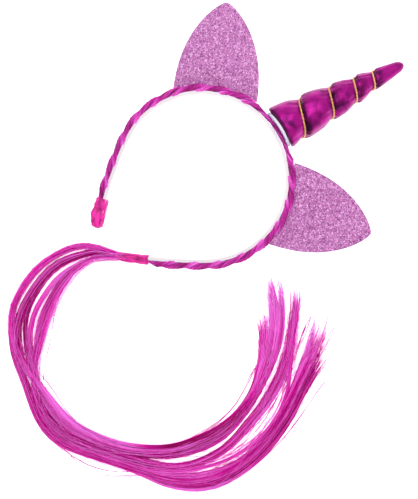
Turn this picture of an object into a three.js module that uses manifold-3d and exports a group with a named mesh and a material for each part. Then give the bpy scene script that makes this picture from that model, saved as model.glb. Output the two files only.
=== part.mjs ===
// Unicorn horn headband, lying on a table as it is photographed from above.
//
// A C-shaped plastic hoop carries a two-strand hair twist along its whole outer
// face, two flat glitter ears, a stuffed spiral horn on a felt disc, a wrapped
// plain end, and a wrapped end that a long tail of hair comes out of.
//
// Millimetres, +Z up. The hoop is modelled round its crown's centre, with the
// horn along +Y, the plain end on -X and the tail end on +X. The whole group
// is then tipped so that the horn and both ends touch the table.
import * as THREE from 'three';
import { mergeVertices } from 'three/addons/utils/BufferGeometryUtils.js';
import Module from 'manifold-3d';

// Driving dimensions
const CLEARANCE = 0.3; // between two pieces that touch

const HOOP_RADIUS = 57; // crown, at the hoop's outer face
const HOOP_THICKNESS = 2.2;
const HOOP_WIDTH = 8;

const PLAIN_ARM_LENGTH = 68.8; // from the end of the crown's round
const PLAIN_ARM_BEND = 154; // radius of the arm's gentler bend
const PLAIN_CROWN_ANGLE = 114.6; // degrees from the horn to the arm
const TAIL_ARM_LENGTH = 52;
const TAIL_ARM_BEND = 335;
const TAIL_CROWN_ANGLE = 121.4;

const TWIST_DEPTH = 4.2; // off the hoop's face
const TWIST_RISE = 5.6; // across the hoop's width
const TWIST_OFFSET = 1.2; // above the middle of the hoop's width
const TWIST_PITCH = 31.4; // one whole turn of a strand
const TWIST_START = 1.6; // from the crown's middle to where a strand is outermost
const PRESS_UNDER_HORN = 0.65; // share of the depth that is left
const PRESS_IN_PLAIN_WRAP = 0.85;
const PRESS_IN_TAIL_WRAP = 0.4;

const EAR_WIDTH = 57;
const EAR_LENGTH = 63;
const EAR_THICKNESS = 2;
const LEFT_EAR_ANGLE = -50.2; // degrees from the horn
const RIGHT_EAR_ANGLE = 51.2;

const HORN_LENGTH = 93;
const HORN_BASE_RADIUS = 14.9;
const HORN_TIP_RADIUS = 3;
const HORN_FULLNESS = 1.37; // 1 is a straight cone, more is fuller in the middle
const HORN_LEAN = 4.3; // degrees towards the tail's side
const GROOVE_DEPTH = 1.5; // under the cord, at the base
const FELT_THICKNESS = 1.5;

const CORD_DIAMETER = 1.3;

const WRAP_WALL = 0.9;
const PLAIN_WRAP_LENGTH = 21.5;
const TAIL_WRAP_LENGTH = 22;
const TAIL_WRAP_GRIP = 13.2; // length of hoop inside the tail's wrap

const TAIL_LENGTH = 416;
const TAIL_HALF_WIDTH = 20; // where the hair spreads most
const TAIL_SECTION_AREA = 75; // of the loosely packed hair
const TAIL_THINNEST = 2.6;
const TAIL_THICKEST = 6;

// Faces
const HOOP_STEPS = 65; // odd, so that one flat face is on the crown's middle
const STRAND_SIDES = 6;
const STRAND_STEPS_PER_TURN = 9;
const HORN_SIDES = 18;
const HORN_ROWS = 28;
const CORD_SIDES = 6;
const CORD_STEPS = 52;
const LOCK_SIDES = 5;
const LOCK_ROWS = 36;

const wasm = await Module();
wasm.setup();

const rad = THREE.MathUtils.degToRad;
const { lerp, smoothstep, clamp } = THREE.MathUtils;

// Tools that shape, join and name pieces

// Moves each corner of a geometry to the place that a function gives it
function shaped(geometry, place) {
  const corners = geometry.attributes.position;
  for (let i = 0; i < corners.count; i += 1) {
    corners.setXYZ(i, ...place(corners.getX(i), corners.getY(i), corners.getZ(i)));
  }
  geometry.computeVertexNormals();
  return geometry;
}

function toSolid(geometry) {
  const bare = geometry.clone();
  bare.deleteAttribute('normal');
  bare.deleteAttribute('uv');
  const merged = mergeVertices(bare);
  const mesh = new wasm.Mesh({
    numProp: 3,
    vertProperties: merged.attributes.position.array,
    triVerts: new Uint32Array(merged.index.array),
  });
  return new wasm.Manifold(mesh);
}

function toGeometry(solid) {
  const { vertProperties, triVerts } = solid.getMesh();
  const geometry = new THREE.BufferGeometry();
  geometry.setAttribute('position', new THREE.BufferAttribute(vertProperties, 3));
  geometry.setIndex(new THREE.BufferAttribute(triVerts, 1));
  geometry.computeVertexNormals();
  return geometry;
}

function piece(name, geometry, material) {
  const mesh = new THREE.Mesh(geometry, material);
  mesh.name = name;
  return mesh;
}

// A column of a table of rows with growing shares, eased from row to row
function eased(rows, column, share) {
  const next = rows.findIndex((row) => row.share >= share);
  if (next < 0) return rows[rows.length - 1][column];
  if (next === 0) return rows[0][column];
  const from = rows[next - 1];
  const to = rows[next];
  return lerp(from[column], to[column], smoothstep(share, from.share, to.share));
}

// The hoop's own line

const plainCrown = HOOP_RADIUS * rad(PLAIN_CROWN_ANGLE);
const tailCrown = HOOP_RADIUS * rad(TAIL_CROWN_ANGLE);
const plainEnd = -(plainCrown + PLAIN_ARM_LENGTH);
const tailEnd = tailCrown + TAIL_ARM_LENGTH;

// How far the worn hoop has bowed out of its round, at shares of its length from
// the plain end to the tail end
const hoopBow = [
  { share: -0.8, out: 0 },
  { share: -0.6, out: 1.7 },
  { share: -0.42, out: 0.9 },
  { share: -0.2, out: -0.6 },
  { share: 0, out: -0.9 },
  { share: 0.12, out: -0.8 },
  { share: 0.35, out: 0.2 },
  { share: 0.6, out: 0.3 },
  { share: 0.9, out: 0 },
];

function bowAt(along) {
  return eased(hoopBow, 'out', along < 0 ? -along / plainEnd : along / tailEnd);
}

// A point beside the hoop: its distance from the crown's middle along the outer
// face, negative towards the plain end, then how far out from that face and how
// far above the middle of the hoop's width it lies
function besideHoop(along, out, up) {
  const side = along < 0 ? -1 : 1;
  const crownAngle = rad(side < 0 ? PLAIN_CROWN_ANGLE : TAIL_CROWN_ANGLE);
  const armBend = side < 0 ? PLAIN_ARM_BEND : TAIL_ARM_BEND;
  const start = Math.min(Math.abs(along) / HOOP_RADIUS, crownAngle);
  const beyond = Math.abs(along) - start * HOOP_RADIUS;
  const bend = beyond > 0 ? armBend : HOOP_RADIUS;
  const reach = start + beyond / bend;
  const shift = bend - HOOP_RADIUS;
  const radius = bend + bowAt(along) + out;
  const x = Math.sin(reach) * radius - Math.sin(start) * shift;
  const y = Math.cos(reach) * radius - Math.cos(start) * shift;
  return [side * x, y, up];
}

// Places across the hoop's section
const twistBack = CLEARANCE;
const twistUnderHorn = twistBack + TWIST_DEPTH * PRESS_UNDER_HORN;
const twistBottom = TWIST_OFFSET - TWIST_RISE / 2;
const feltBack = twistUnderHorn + CLEARANCE;
const hornBack = feltBack + FELT_THICKNESS + CLEARANCE;

// The pocket inside a wrap, round the hoop and the pressed twist
function pocketFor(press) {
  return {
    outer: twistBack + TWIST_DEPTH * press + CLEARANCE,
    inner: -(HOOP_THICKNESS + CLEARANCE),
    half: HOOP_WIDTH / 2 + CLEARANCE,
  };
}
const plainPocket = pocketFor(PRESS_IN_PLAIN_WRAP);
const tailPocket = pocketFor(PRESS_IN_TAIL_WRAP);
const plainWrapEnd = plainEnd - CLEARANCE - WRAP_WALL;
const tailWrapStart = tailEnd - TAIL_WRAP_GRIP;
const tailWrapEnd = tailWrapStart + TAIL_WRAP_LENGTH;

// How the headband lies: the horn's base and the two wrapped ends touch the table
const wrapHalfHeight = plainPocket.half + WRAP_WALL;
const hornSeat = HOOP_RADIUS + bowAt(0) + hornBack;
const rearmost = Math.min(
  besideHoop(plainWrapEnd, 0, 0)[1],
  besideHoop(tailWrapEnd, 0, 0)[1],
);
const restTilt = Math.atan((HORN_BASE_RADIUS - wrapHalfHeight) / (hornSeat - rearmost));
const restHeight = wrapHalfHeight - rearmost * Math.tan(restTilt);

// Height of the table in the hoop's own tipped frame
function tableBelow(y) {
  return -restHeight - y * Math.tan(restTilt);
}

// Materials

const paint = (color, roughness, metalness = 0) =>
  new THREE.MeshStandardMaterial({ color, roughness, metalness });
const palePlastic = paint('#ecebee', 0.35);
const magentaHair = paint('#c722a6', 0.42);
const pinkWrap = paint('#f0289f', 0.5);
const glitterFelt = paint('#cf80c8', 0.7, 0.1);
const metallicFabric = paint('#9c1f90', 0.35, 0.45);
const whiteFelt = paint('#e9e6f6', 0.95);
const goldCord = paint('#edb04c', 0.35, 0.7);

// Hoop: a flat strip bent along its line

function makeHoop() {
  const strip = new THREE.BoxGeometry(HOOP_THICKNESS, 2, HOOP_WIDTH, 1, HOOP_STEPS, 1);
  return shaped(strip, (x, y, z) => {
    const along = y < 0 ? -y * plainEnd : y * tailEnd;
    return besideHoop(along, -x - HOOP_THICKNESS / 2, z);
  });
}

// Hair twist: two strands that wind round each other on the hoop's outer face

// Share of the twist's depth that the horn and the wraps leave it
function pressed(along) {
  const ease = 6;
  const margin = 1;
  const plainWrapStart = plainWrapEnd + PLAIN_WRAP_LENGTH;
  const hornEdge = HORN_BASE_RADIUS + margin;
  const underHorn = 1 - smoothstep(Math.abs(along), hornEdge, hornEdge + ease);
  const inPlainWrap = smoothstep(-along, -plainWrapStart - ease, -plainWrapStart - margin);
  const inTailWrap = smoothstep(along, tailWrapStart - ease, tailWrapStart - margin);
  const freeShare = 1 - (1 - PRESS_UNDER_HORN) * underHorn;
  return lerp(lerp(freeShare, PRESS_IN_PLAIN_WRAP, inPlainWrap), PRESS_IN_TAIL_WRAP, inTailWrap);
}

function makeStrand(turnShare) {
  const from = plainEnd + CLEARANCE;
  const to = tailEnd - CLEARANCE;
  const steps = Math.round(((to - from) / TWIST_PITCH) * STRAND_STEPS_PER_TURN);
  const halfWide = 0.74;
  const rod = new THREE.CylinderGeometry(1, 1, 1, STRAND_SIDES, steps);
  return shaped(rod, (x, y, z) => {
    const along = lerp(from, to, y + 0.5);
    const squeeze = pressed(along);
    const turn = 2 * Math.PI * (turnShare - (along - TWIST_START) / TWIST_PITCH);
    const gapShare = CLEARANCE / (TWIST_DEPTH * squeeze);
    const deep = (1 + gapShare) / 2 + ((1 - gapShare) / 2) * x;
    const wide = halfWide * z;
    const out = (deep * Math.cos(turn) + wide * Math.sin(turn)) * TWIST_DEPTH / 2;
    const up = (wide * Math.cos(turn) - deep * Math.sin(turn)) * TWIST_RISE / 2;
    const centre = twistBack + TWIST_DEPTH * squeeze / 2;
    return besideHoop(along, centre - out * squeeze, TWIST_OFFSET + up);
  });
}

// Ears: flat pointed arches whose lower edge lies behind the twist and follows
// the hoop's face, reaching the twist's outer edge at both corners

function makeEar(angle) {
  const halfWidth = EAR_WIDTH / 2;
  const cornerOut = twistBack + TWIST_DEPTH;
  const cornerRadius = HOOP_RADIUS + cornerOut;
  const cornerY = Math.sqrt(cornerRadius ** 2 - halfWidth ** 2);
  const cornerAngle = Math.asin(halfWidth / cornerRadius);
  const sidePoints = 11;
  const basePoints = 10;
  const fullness = 2.3;
  const tipSharpness = 0.75;
  const turned = new THREE.Vector2();
  const outline = [];
  const add = (x, y) => outline.push(turned.set(x, y).rotateAround(centre, -angle).clone());
  const centre = new THREE.Vector2();
  for (let i = 0; i <= 2 * sidePoints; i += 1) {
    const side = i < sidePoints ? 1 : -1;
    const rise = Math.sin((Math.PI / 2) * (1 - Math.abs(i - sidePoints) / sidePoints));
    const half = halfWidth * (1 - rise ** fullness) ** tipSharpness;
    add(side * half, cornerY + EAR_LENGTH * rise);
  }
  for (let i = 1; i < basePoints; i += 1) {
    const across = -1 + (2 * i) / basePoints;
    const along = HOOP_RADIUS * (angle + across * cornerAngle);
    const out = CLEARANCE + (cornerOut - CLEARANCE) * across ** 4;
    const [x, y] = besideHoop(along, out, 0);
    outline.push(new THREE.Vector2(x, y));
  }
  const panel = { depth: EAR_THICKNESS, bevelEnabled: false };
  const back = twistBottom - CLEARANCE - EAR_THICKNESS;
  return new THREE.ExtrudeGeometry(new THREE.Shape(outline), panel).translate(0, 0, back);
}

// Horn: a stuffed cone drawn in by a spiral cord

// Where the cord crosses the horn's length, by its turns from the plain side
// round the underside. Its start, its spacing and how much that closes up towards
// the tip are shares of the length.
const cordPath = { first: 0.23, last: 4.3, start: -0.044, spacing: 0.2898, closing: 0.0211 };

// Radius of the cone that the stuffing fills, before its tip is rounded
function coneRadius(s) {
  const share = Math.max(s, 0) / HORN_LENGTH;
  return lerp(HORN_BASE_RADIUS, HORN_TIP_RADIUS, share ** HORN_FULLNESS);
}

function hornRadius(s) {
  const roundLength = 1.6 * HORN_TIP_RADIUS;
  const round = Math.max(0, (s - HORN_LENGTH) / roundLength + 1);
  return coneRadius(s) * Math.sqrt(1 - (0.92 * round) ** 2);
}

function cordStation(turns) {
  const { start, spacing, closing } = cordPath;
  return HORN_LENGTH * (start + spacing * turns - closing * turns ** 2);
}

function grooveDepth(s) {
  return GROOVE_DEPTH * Math.sqrt(hornRadius(s) / HORN_BASE_RADIUS);
}

// From 0 on a crest to 1 in the groove: steep on the tip's side of the cord
function groove(s, turnShare) {
  const towardsTip = 2.2;
  const towardsBase = 4.6;
  let deepest = 0;
  for (let turns = turnShare; turns < cordPath.last; turns += 1) {
    if (turns < cordPath.first) continue;
    const away = s - cordStation(turns);
    const width = away > 0 ? towardsTip : towardsBase;
    deepest = Math.max(deepest, Math.exp(-((away / width) ** 2)));
  }
  return deepest;
}

// A point of the horn: along its axis, and its two offsets from the axis. The
// horn leans to the tail's side and droops until its underside is on the table.
function besideHorn(s, across, up) {
  const droop = HORN_BASE_RADIUS - coneRadius(s) + s * Math.tan(restTilt);
  return [across + s * Math.tan(rad(HORN_LEAN)), hornSeat + s, up - droop];
}

// Where the cord's middle is on the horn: its offset along, across and up
function cordPlace(turns) {
  const s = cordStation(turns);
  const r = hornRadius(s) - grooveDepth(s) + CORD_DIAMETER / 4;
  const angle = 2 * Math.PI * turns;
  return new THREE.Vector3(-r * Math.cos(angle), s, -r * Math.sin(angle));
}

// A round tube along the cord's turns, lengthened at each end by the overrun
function cordTube(radius, overrun) {
  const nearby = 0.001;
  const rod = new THREE.CylinderGeometry(1, 1, 1, CORD_SIDES, CORD_STEPS);
  return shaped(rod, (x, y, z) => {
    const turns = lerp(cordPath.first, cordPath.last, y + 0.5);
    const place = cordPlace(turns);
    const forward = cordPlace(turns + nearby).sub(place).normalize();
    const outward = new THREE.Vector3(place.x, 0, place.z).normalize();
    const sideways = outward.clone().cross(forward).normalize();
    place.addScaledVector(outward, x * radius).addScaledVector(sideways, z * radius);
    if (Math.abs(y) === 0.5) place.addScaledVector(forward, Math.sign(y) * overrun);
    return besideHorn(place.y, place.x, place.z);
  });
}

function makeHorn() {
  const crowding = 1.35; // rows come closer together towards the tip
  const buried = 4; // length that the hoop's curve is then cut from
  const rod = new THREE.CylinderGeometry(1, 1, 1, HORN_SIDES, HORN_ROWS);
  shaped(rod, (x, y, z) => {
    const s = lerp(-buried, HORN_LENGTH, 1 - (0.5 - y) ** crowding);
    const turnShare = (Math.atan2(-z, -x) / (2 * Math.PI) + 1) % 1;
    const r = hornRadius(s) - grooveDepth(s) * groove(s, turnShare);
    return besideHorn(s, x * r, z * r);
  });
  const seatHeight = 4 * HORN_BASE_RADIUS;
  const seatSides = 96;
  const seat = new THREE.CylinderGeometry(hornSeat, hornSeat, seatHeight, seatSides);
  seat.rotateX(Math.PI / 2);
  const channel = cordTube(CORD_DIAMETER / 2 + CLEARANCE, CLEARANCE);
  return toGeometry(toSolid(rod).subtract(toSolid(seat)).subtract(toSolid(channel)));
}

// Felt disc: a thin round bent to the hoop, in strips across its width

function makeFelt() {
  const strips = 14;
  const widest = rad(80); // leaves a short flat at each side of the round
  const sheet = new THREE.BoxGeometry(2, FELT_THICKNESS, 2, strips, 1, 2);
  const outward = FELT_THICKNESS / 2 + feltBack;
  const scale = HOOP_RADIUS / (HOOP_RADIUS + feltBack);
  return shaped(sheet, (x, y, z) => {
    const along = HORN_BASE_RADIUS * Math.sin(widest * x) * scale;
    return besideHoop(along, y + outward, z * HORN_BASE_RADIUS * Math.cos(widest * x));
  });
}

// Wraps: tape wound and crumpled round the two ends. A fold's columns give how
// far the tape stands out, in walls, on its outer, inner and wide sides.

const plainFolds = [
  { share: 0, outer: 1.0, inner: 0.9, wide: 1.0 },
  { share: 0.15, outer: 1.3, inner: 1.0, wide: 1.0 },
  { share: 0.32, outer: 2.0, inner: 1.2, wide: 1.2 },
  { share: 0.42, outer: 1.5, inner: 1.0, wide: 1.0 },
  { share: 0.58, outer: 2.9, inner: 1.3, wide: 1.2 },
  { share: 0.74, outer: 1.8, inner: 0.9, wide: 1.0 },
  { share: 0.86, outer: 1.9, inner: 1.3, wide: 1.2 },
  { share: 1, outer: 0.9, inner: 0.9, wide: 1.0 },
];
const tailFolds = [
  { share: 0, outer: 0.9, inner: 1.1, wide: 1.0 },
  { share: 0.2, outer: 1.1, inner: 0.9, wide: 1.0 },
  { share: 0.42, outer: 0.9, inner: 1.3, wide: 1.0 },
  { share: 0.66, outer: 1.3, inner: 1.0, wide: 1.0 },
  { share: 0.86, outer: 1.0, inner: 1.1, wide: 1.0 },
  { share: 1, outer: 0.9, inner: 0.9, wide: 1.0 },
];

// A rounded oblong sleeve of tape, whose folds start at the end near the horn
function wrapShell(from, to, pocket, folds) {
  const sides = 12;
  const squareness = 0.42; // 1 is an oval, less is nearer to a rounded oblong
  const steps = 10;
  const square = (value) => Math.sign(value) * Math.abs(value) ** squareness;
  const roll = new THREE.CylinderGeometry(1, 1, 1, sides, steps);
  roll.rotateY(Math.PI / sides);
  return shaped(roll, (x, y, z) => {
    const share = from < 0 ? 0.5 - y : 0.5 + y;
    const outer = pocket.outer + WRAP_WALL * eased(folds, 'outer', share);
    const inner = pocket.inner - WRAP_WALL * eased(folds, 'inner', share);
    const half = pocket.half + WRAP_WALL * eased(folds, 'wide', share);
    const out = lerp(inner, outer, (1 - square(x)) / 2);
    return besideHoop(lerp(from, to, y + 0.5), out, half * square(z));
  });
}

function pocketBlock(from, to, pocket) {
  const steps = 10;
  return shaped(new THREE.BoxGeometry(1, 1, 1, 1, steps, 1), (x, y, z) => {
    const out = lerp(pocket.inner, pocket.outer, 0.5 - x);
    return besideHoop(lerp(from, to, y + 0.5), out, 2 * z * pocket.half);
  });
}

// The plain end's wrap is closed behind the hoop's end, the tail's goes through
function makePlainWrap() {
  const start = plainWrapEnd + PLAIN_WRAP_LENGTH;
  const shell = toSolid(wrapShell(plainWrapEnd, start, plainPocket, plainFolds));
  const room = toSolid(pocketBlock(plainEnd - CLEARANCE, start + WRAP_WALL, plainPocket));
  return toGeometry(shell.subtract(room));
}

function makeTailWrap() {
  const shell = toSolid(wrapShell(tailWrapStart, tailWrapEnd, tailPocket, tailFolds));
  const room = pocketBlock(tailWrapStart - WRAP_WALL, tailWrapEnd + WRAP_WALL, tailPocket);
  return toGeometry(shell.subtract(toSolid(room)));
}

// Tail: locks of hair along one curved line, fused to a head in the wrap

// Stretches of the tail's line: share of its length, and left turn in degrees
const tailBends = [
  { share: 0.024, turn: -4 },
  { share: 0.112, turn: 72 },
  { share: 0.124, turn: 35 },
  { share: 0.038, turn: 16 },
  { share: 0.053, turn: 3 },
  { share: 0.082, turn: 41 },
  { share: 0.144, turn: 16 },
  { share: 0.135, turn: 49 },
  { share: 0.288, turn: 72 },
];

// Half of the tail's spread along its length, as a share of TAIL_HALF_WIDTH
const tailSpread = [
  { share: 0, half: 0.14 },
  { share: 0.04, half: 0.3 },
  { share: 0.07, half: 0.43 },
  { share: 0.15, half: 0.65 },
  { share: 0.2, half: 0.65 },
  { share: 0.305, half: 0.38 },
  { share: 0.394, half: 0.59 },
  { share: 0.47, half: 0.46 },
  { share: 0.548, half: 0.6 },
  { share: 0.65, half: 0.97 },
  { share: 0.875, half: 1 },
  { share: 1, half: 0.95 },
];

// Where each lock runs, as pairs of a share of the length and the lanes that it lies to
// the inner side of the tail's line. It ends at the last pair.
const LANES = 20; // in TAIL_HALF_WIDTH
const tailLocks = [
  {
    course: [[0, -1.2], [0.06, -3.3], [0.1, -4], [0.15, -7.6], [0.2, -10.6], [0.26, -5.5],
      [0.33, 4.4], [0.4, 8.6], [0.5, 8], [0.6, 14.6], [0.66, 17.6], [0.8, 15.9], [0.96, 16.9]],
    girth: 1.05,
    lift: 1.3,
  },
  {
    course: [[0, -0.2], [0.06, 2.4], [0.1, 1.9], [0.2, -4.4], [0.24, -5], [0.34, 4],
      [0.4, 6], [0.5, 5.4], [0.6, 11.2], [0.66, 14], [0.8, 14], [0.95, 10.8], [1.01, 7.3]],
    girth: 1.3,
    lift: 0.5,
  },
  {
    course: [[0, 0.5], [0.06, 3.8], [0.1, 3.6], [0.2, -1], [0.3, 2.4], [0.4, 3.4],
      [0.5, 3.8], [0.6, 8.2], [0.7, 10.8], [0.8, 13], [0.9, 8.2], [0.985, 0.4]],
    girth: 0.85,
    lift: 0,
  },
  {
    course: [[0, 0.9], [0.06, 7.3], [0.1, 8.8], [0.15, 7.2], [0.2, 4], [0.3, 3.6], [0.35, 0],
      [0.4, -1], [0.5, 1.5], [0.6, 1], [0.75, 6.7], [0.85, 3.6], [0.9, 0], [0.98, -7.8]],
    girth: 1.05,
    lift: 0.4,
  },
  {
    course: [[0, 1.2], [0.06, 8.6], [0.1, 11.2], [0.15, 11.3], [0.25, 7.4], [0.35, -2.2],
      [0.4, -3.6], [0.5, -1], [0.6, -1], [0.75, 4], [0.85, 0.6], [0.92, -3]],
    girth: 0.85,
    lift: 0,
  },
  {
    course: [[0, 1.6], [0.06, 9.8], [0.1, 14], [0.15, 14.7], [0.25, 10.6], [0.34, -1],
      [0.41, -4.8], [0.6, -2.5], [0.66, -2.4], [0.75, -6], [0.8, -6.2], [0.9, -1.2], [0.97, -7]],
    girth: 0.6,
    lift: 1.3,
  },
  {
    course: [[0, 1], [0.06, 9], [0.1, 12.8], [0.15, 13.2], [0.25, 9.2], [0.35, -3.4],
      [0.5, -3.2], [0.6, -5], [0.7, -8.8], [0.85, -8.2], [0.9, -12.6], [0.92, -15.2]],
    girth: 0.8,
    lift: 0.5,
  },
  {
    course: [[0, 1.3], [0.06, 8], [0.1, 13.6], [0.15, 14.6], [0.25, 10.8], [0.35, -4.6],
      [0.41, -6.2], [0.5, -5], [0.65, -10.4], [0.8, -9.6], [0.85, -10.6], [0.91, -18]],
    girth: 1,
    lift: 0.9,
  },
  {
    course: [[0, -0.6], [0.06, 1.4], [0.1, 0.9], [0.15, -1.8], [0.25, -7], [0.3, -5],
      [0.4, -7], [0.5, -4.4], [0.65, -13.6], [0.8, -12.4], [0.85, -14], [0.89, -20]],
    girth: 1.1,
    lift: 0.2,
  },
  {
    course: [[0, -1.6], [0.06, -4.6], [0.1, -4.7], [0.2, -11], [0.3, -6], [0.4, -7.8],
      [0.5, -5], [0.65, -16.4], [0.8, -14.8], [0.85, -16.8], [0.88, -22]],
    girth: 0.95,
    lift: 0,
  },
];

// The head fills the wrap's pocket less the clearance, and comes out of it
const headOut = (tailPocket.outer + tailPocket.inner) / 2;
const headHalfDepth = (tailPocket.outer - tailPocket.inner) / 2 - CLEARANCE;
const headHalfRise = tailPocket.half - CLEARANCE;
const headOverrun = 4;

// A point on the tail's line and its heading, by the distance from the wrap
function tailLine(distance) {
  const [startX, startY] = besideHoop(tailWrapEnd, headOut, 0);
  const [nearX, nearY] = besideHoop(tailWrapEnd - 1, headOut, 0);
  const at = { x: startX, y: startY, heading: Math.atan2(startY - nearY, startX - nearX) };
  let left = distance;
  for (const { share, turn } of tailBends) {
    const length = Math.min(left, share * TAIL_LENGTH);
    if (length <= 0) break;
    const turned = rad(turn) * (length / (share * TAIL_LENGTH));
    const chord = (length * Math.sin(turned / 2)) / (turned / 2);
    at.x += chord * Math.cos(at.heading + turned / 2);
    at.y += chord * Math.sin(at.heading + turned / 2);
    at.heading += turned;
    left -= length;
  }
  return at;
}

function tailHalfWidth(share) {
  return TAIL_HALF_WIDTH * eased(tailSpread, 'half', share);
}

function tailThickness(share) {
  const packed = TAIL_SECTION_AREA / (2 * tailHalfWidth(share));
  return clamp(packed, TAIL_THINNEST, TAIL_THICKEST);
}

// The value at a share of a smooth curve through pairs of a share and a value
function flowing(course, share) {
  const slope = (k) => {
    const [before, low] = course[Math.max(k - 1, 0)];
    const [after, high] = course[Math.min(k + 1, course.length - 1)];
    return (high - low) / (after - before);
  };
  const passed = course.filter(([at]) => at <= share).length - 1;
  const k = clamp(passed, 0, course.length - 2);
  const [from, value] = course[k];
  const [to, next] = course[k + 1];
  const span = to - from;
  const along = (share - from) / span;
  const bendIn = slope(k) * span - (next - value);
  const bendOut = next - value - slope(k + 1) * span;
  const bend = along * (1 - along) * ((1 - along) * bendIn + along * bendOut);
  return lerp(value, next, along) + bend;
}

function lockSolid(lock) {
  const reach = lock.course[lock.course.length - 1][0];
  const start = 1 / TAIL_LENGTH;
  const landed = 0.09; // share of the length over which the hair comes down
  const taper = 0.09; // share over which a lock thins to its tip
  const tipWidth = 0.34;
  const rod = new THREE.CylinderGeometry(1, 1, 1, LOCK_SIDES, LOCK_ROWS);
  rod.rotateY(Math.PI / LOCK_SIDES);
  shaped(rod, (x, y, z) => {
    const share = lerp(start, reach, y + 0.5);
    const line = tailLine(share * TAIL_LENGTH);
    const thin = lerp(tipWidth, 1, smoothstep(reach - share, 0, taper));
    const halfWide = lock.girth * (0.115 * tailHalfWidth(share) + 0.5) * thin;
    const halfHigh = 0.42 * tailThickness(share) * thin;
    const left = (TAIL_HALF_WIDTH / LANES) * flowing(lock.course, share) - x * halfWide;
    const placeX = line.x - left * Math.sin(line.heading);
    const placeY = line.y + left * Math.cos(line.heading);
    const lying = tableBelow(placeY) + halfHigh + lock.lift;
    const height = lerp(0, lying, smoothstep(share, 0, landed));
    return [placeX, placeY, height + z * halfHigh];
  });
  return toSolid(rod);
}

function makeTail() {
  const from = tailEnd + CLEARANCE;
  const to = tailWrapEnd + headOverrun;
  const steps = 4;
  const head = new THREE.BoxGeometry(2, 1, 2, 1, steps, 1);
  shaped(head, (x, y, z) => {
    const narrowing = lerp(1, 0.7, smoothstep(y, 0, 0.5));
    const out = headOut - x * headHalfDepth * narrowing;
    return besideHoop(lerp(from, to, y + 0.5), out, z * headHalfRise * narrowing);
  });
  return toGeometry(tailLocks.reduce((hair, lock) => hair.add(lockSolid(lock)), toSolid(head)));
}

// Assembly

const band = new THREE.Group();
band.add(
  piece('hoop', makeHoop(), palePlastic),
  piece('hair_strand_a', makeStrand(0), magentaHair),
  piece('hair_strand_b', makeStrand(0.5), magentaHair.clone()),
  piece('horn_base_felt', makeFelt(), whiteFelt),
  piece('horn', makeHorn(), metallicFabric),
  piece('gold_cord', cordTube(CORD_DIAMETER / 2, 0), goldCord),
  piece('plain_end_wrap', makePlainWrap(), pinkWrap),
  piece('tail_wrap', makeTailWrap(), pinkWrap.clone()),
  piece('hair_tail', makeTail(), magentaHair.clone()),
  piece('ear_left', makeEar(rad(LEFT_EAR_ANGLE)), glitterFelt),
  piece('ear_right', makeEar(rad(RIGHT_EAR_ANGLE)), glitterFelt.clone()),
);
band.rotation.x = restTilt;

// The origin is on the table, under the middle of the whole outline
const group = new THREE.Group();
group.add(band);
group.updateMatrixWorld(true);
const reach = new THREE.Box3().setFromObject(group, true);
band.position.set(
  -(reach.min.x + reach.max.x) / 2,
  -(reach.min.y + reach.max.y) / 2,
  -reach.min.z,
);

export default group;
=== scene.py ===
"""Unicorn horn headband, lying on a pale table and seen from straight above.

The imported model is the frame. The hair, the horn, the cord, the wraps, the felt
disc and the ears are modelled here over its plain solids, from the same line and
sizes, in millimetres, and placed in metres.
"""

from __future__ import annotations

import logging
import math
from dataclasses import dataclass
from enum import Enum
from typing import Any, Callable, Sequence

import bmesh
import bpy
import numpy as np
from mathutils import Matrix, Vector, noise

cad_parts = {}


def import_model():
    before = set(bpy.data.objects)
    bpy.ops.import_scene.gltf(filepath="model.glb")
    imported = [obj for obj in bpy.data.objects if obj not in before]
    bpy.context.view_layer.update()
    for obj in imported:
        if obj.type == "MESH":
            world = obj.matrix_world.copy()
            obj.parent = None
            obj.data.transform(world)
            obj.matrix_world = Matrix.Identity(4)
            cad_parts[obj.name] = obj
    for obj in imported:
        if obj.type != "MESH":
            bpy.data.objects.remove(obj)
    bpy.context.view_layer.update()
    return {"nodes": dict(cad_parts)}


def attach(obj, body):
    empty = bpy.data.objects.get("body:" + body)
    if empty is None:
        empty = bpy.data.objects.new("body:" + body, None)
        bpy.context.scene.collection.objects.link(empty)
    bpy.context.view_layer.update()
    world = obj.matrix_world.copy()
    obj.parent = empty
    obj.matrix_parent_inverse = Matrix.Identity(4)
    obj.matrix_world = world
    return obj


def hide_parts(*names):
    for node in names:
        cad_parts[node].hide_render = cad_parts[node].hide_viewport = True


LOG = logging.getLogger("headband")
MM = 0.001
FULL_TURN = 2 * math.pi
TOUCHING = 2e-6  # metres, below which two corners are one
SEED = 58

Array = np.ndarray
Place = Callable[[Array, Array], Array]
Fibres = tuple[Array, Array, Array]  # paths, radii and shades
Course = tuple[tuple[float, float], ...]  # shares of a length, and a value at each


# Measures shared with the part's source, in millimetres


def smoothstep(x: Array | float, low: float, high: float) -> Array:
    """Returns 0 below low, 1 above high, and a smooth rise between them."""
    t = np.clip((np.asarray(x, float) - low) / (high - low), 0, 1)
    return t * t * (3 - 2 * t)


def eased(rows: Course, share: Array | float) -> Array:
    """Reads a table at any share.

    Args:
        rows: pairs of a share and a value, in growing shares.
        share: where to read it.

    Returns:
        The value at each share, eased between the nearest rows.
    """
    share = np.asarray(share, float)
    value = np.full(share.shape, rows[0][1], float)
    for (low, here), (high, following) in zip(rows, rows[1:]):
        value = value + (following - here) * smoothstep(share, low, high)
    return value


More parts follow.
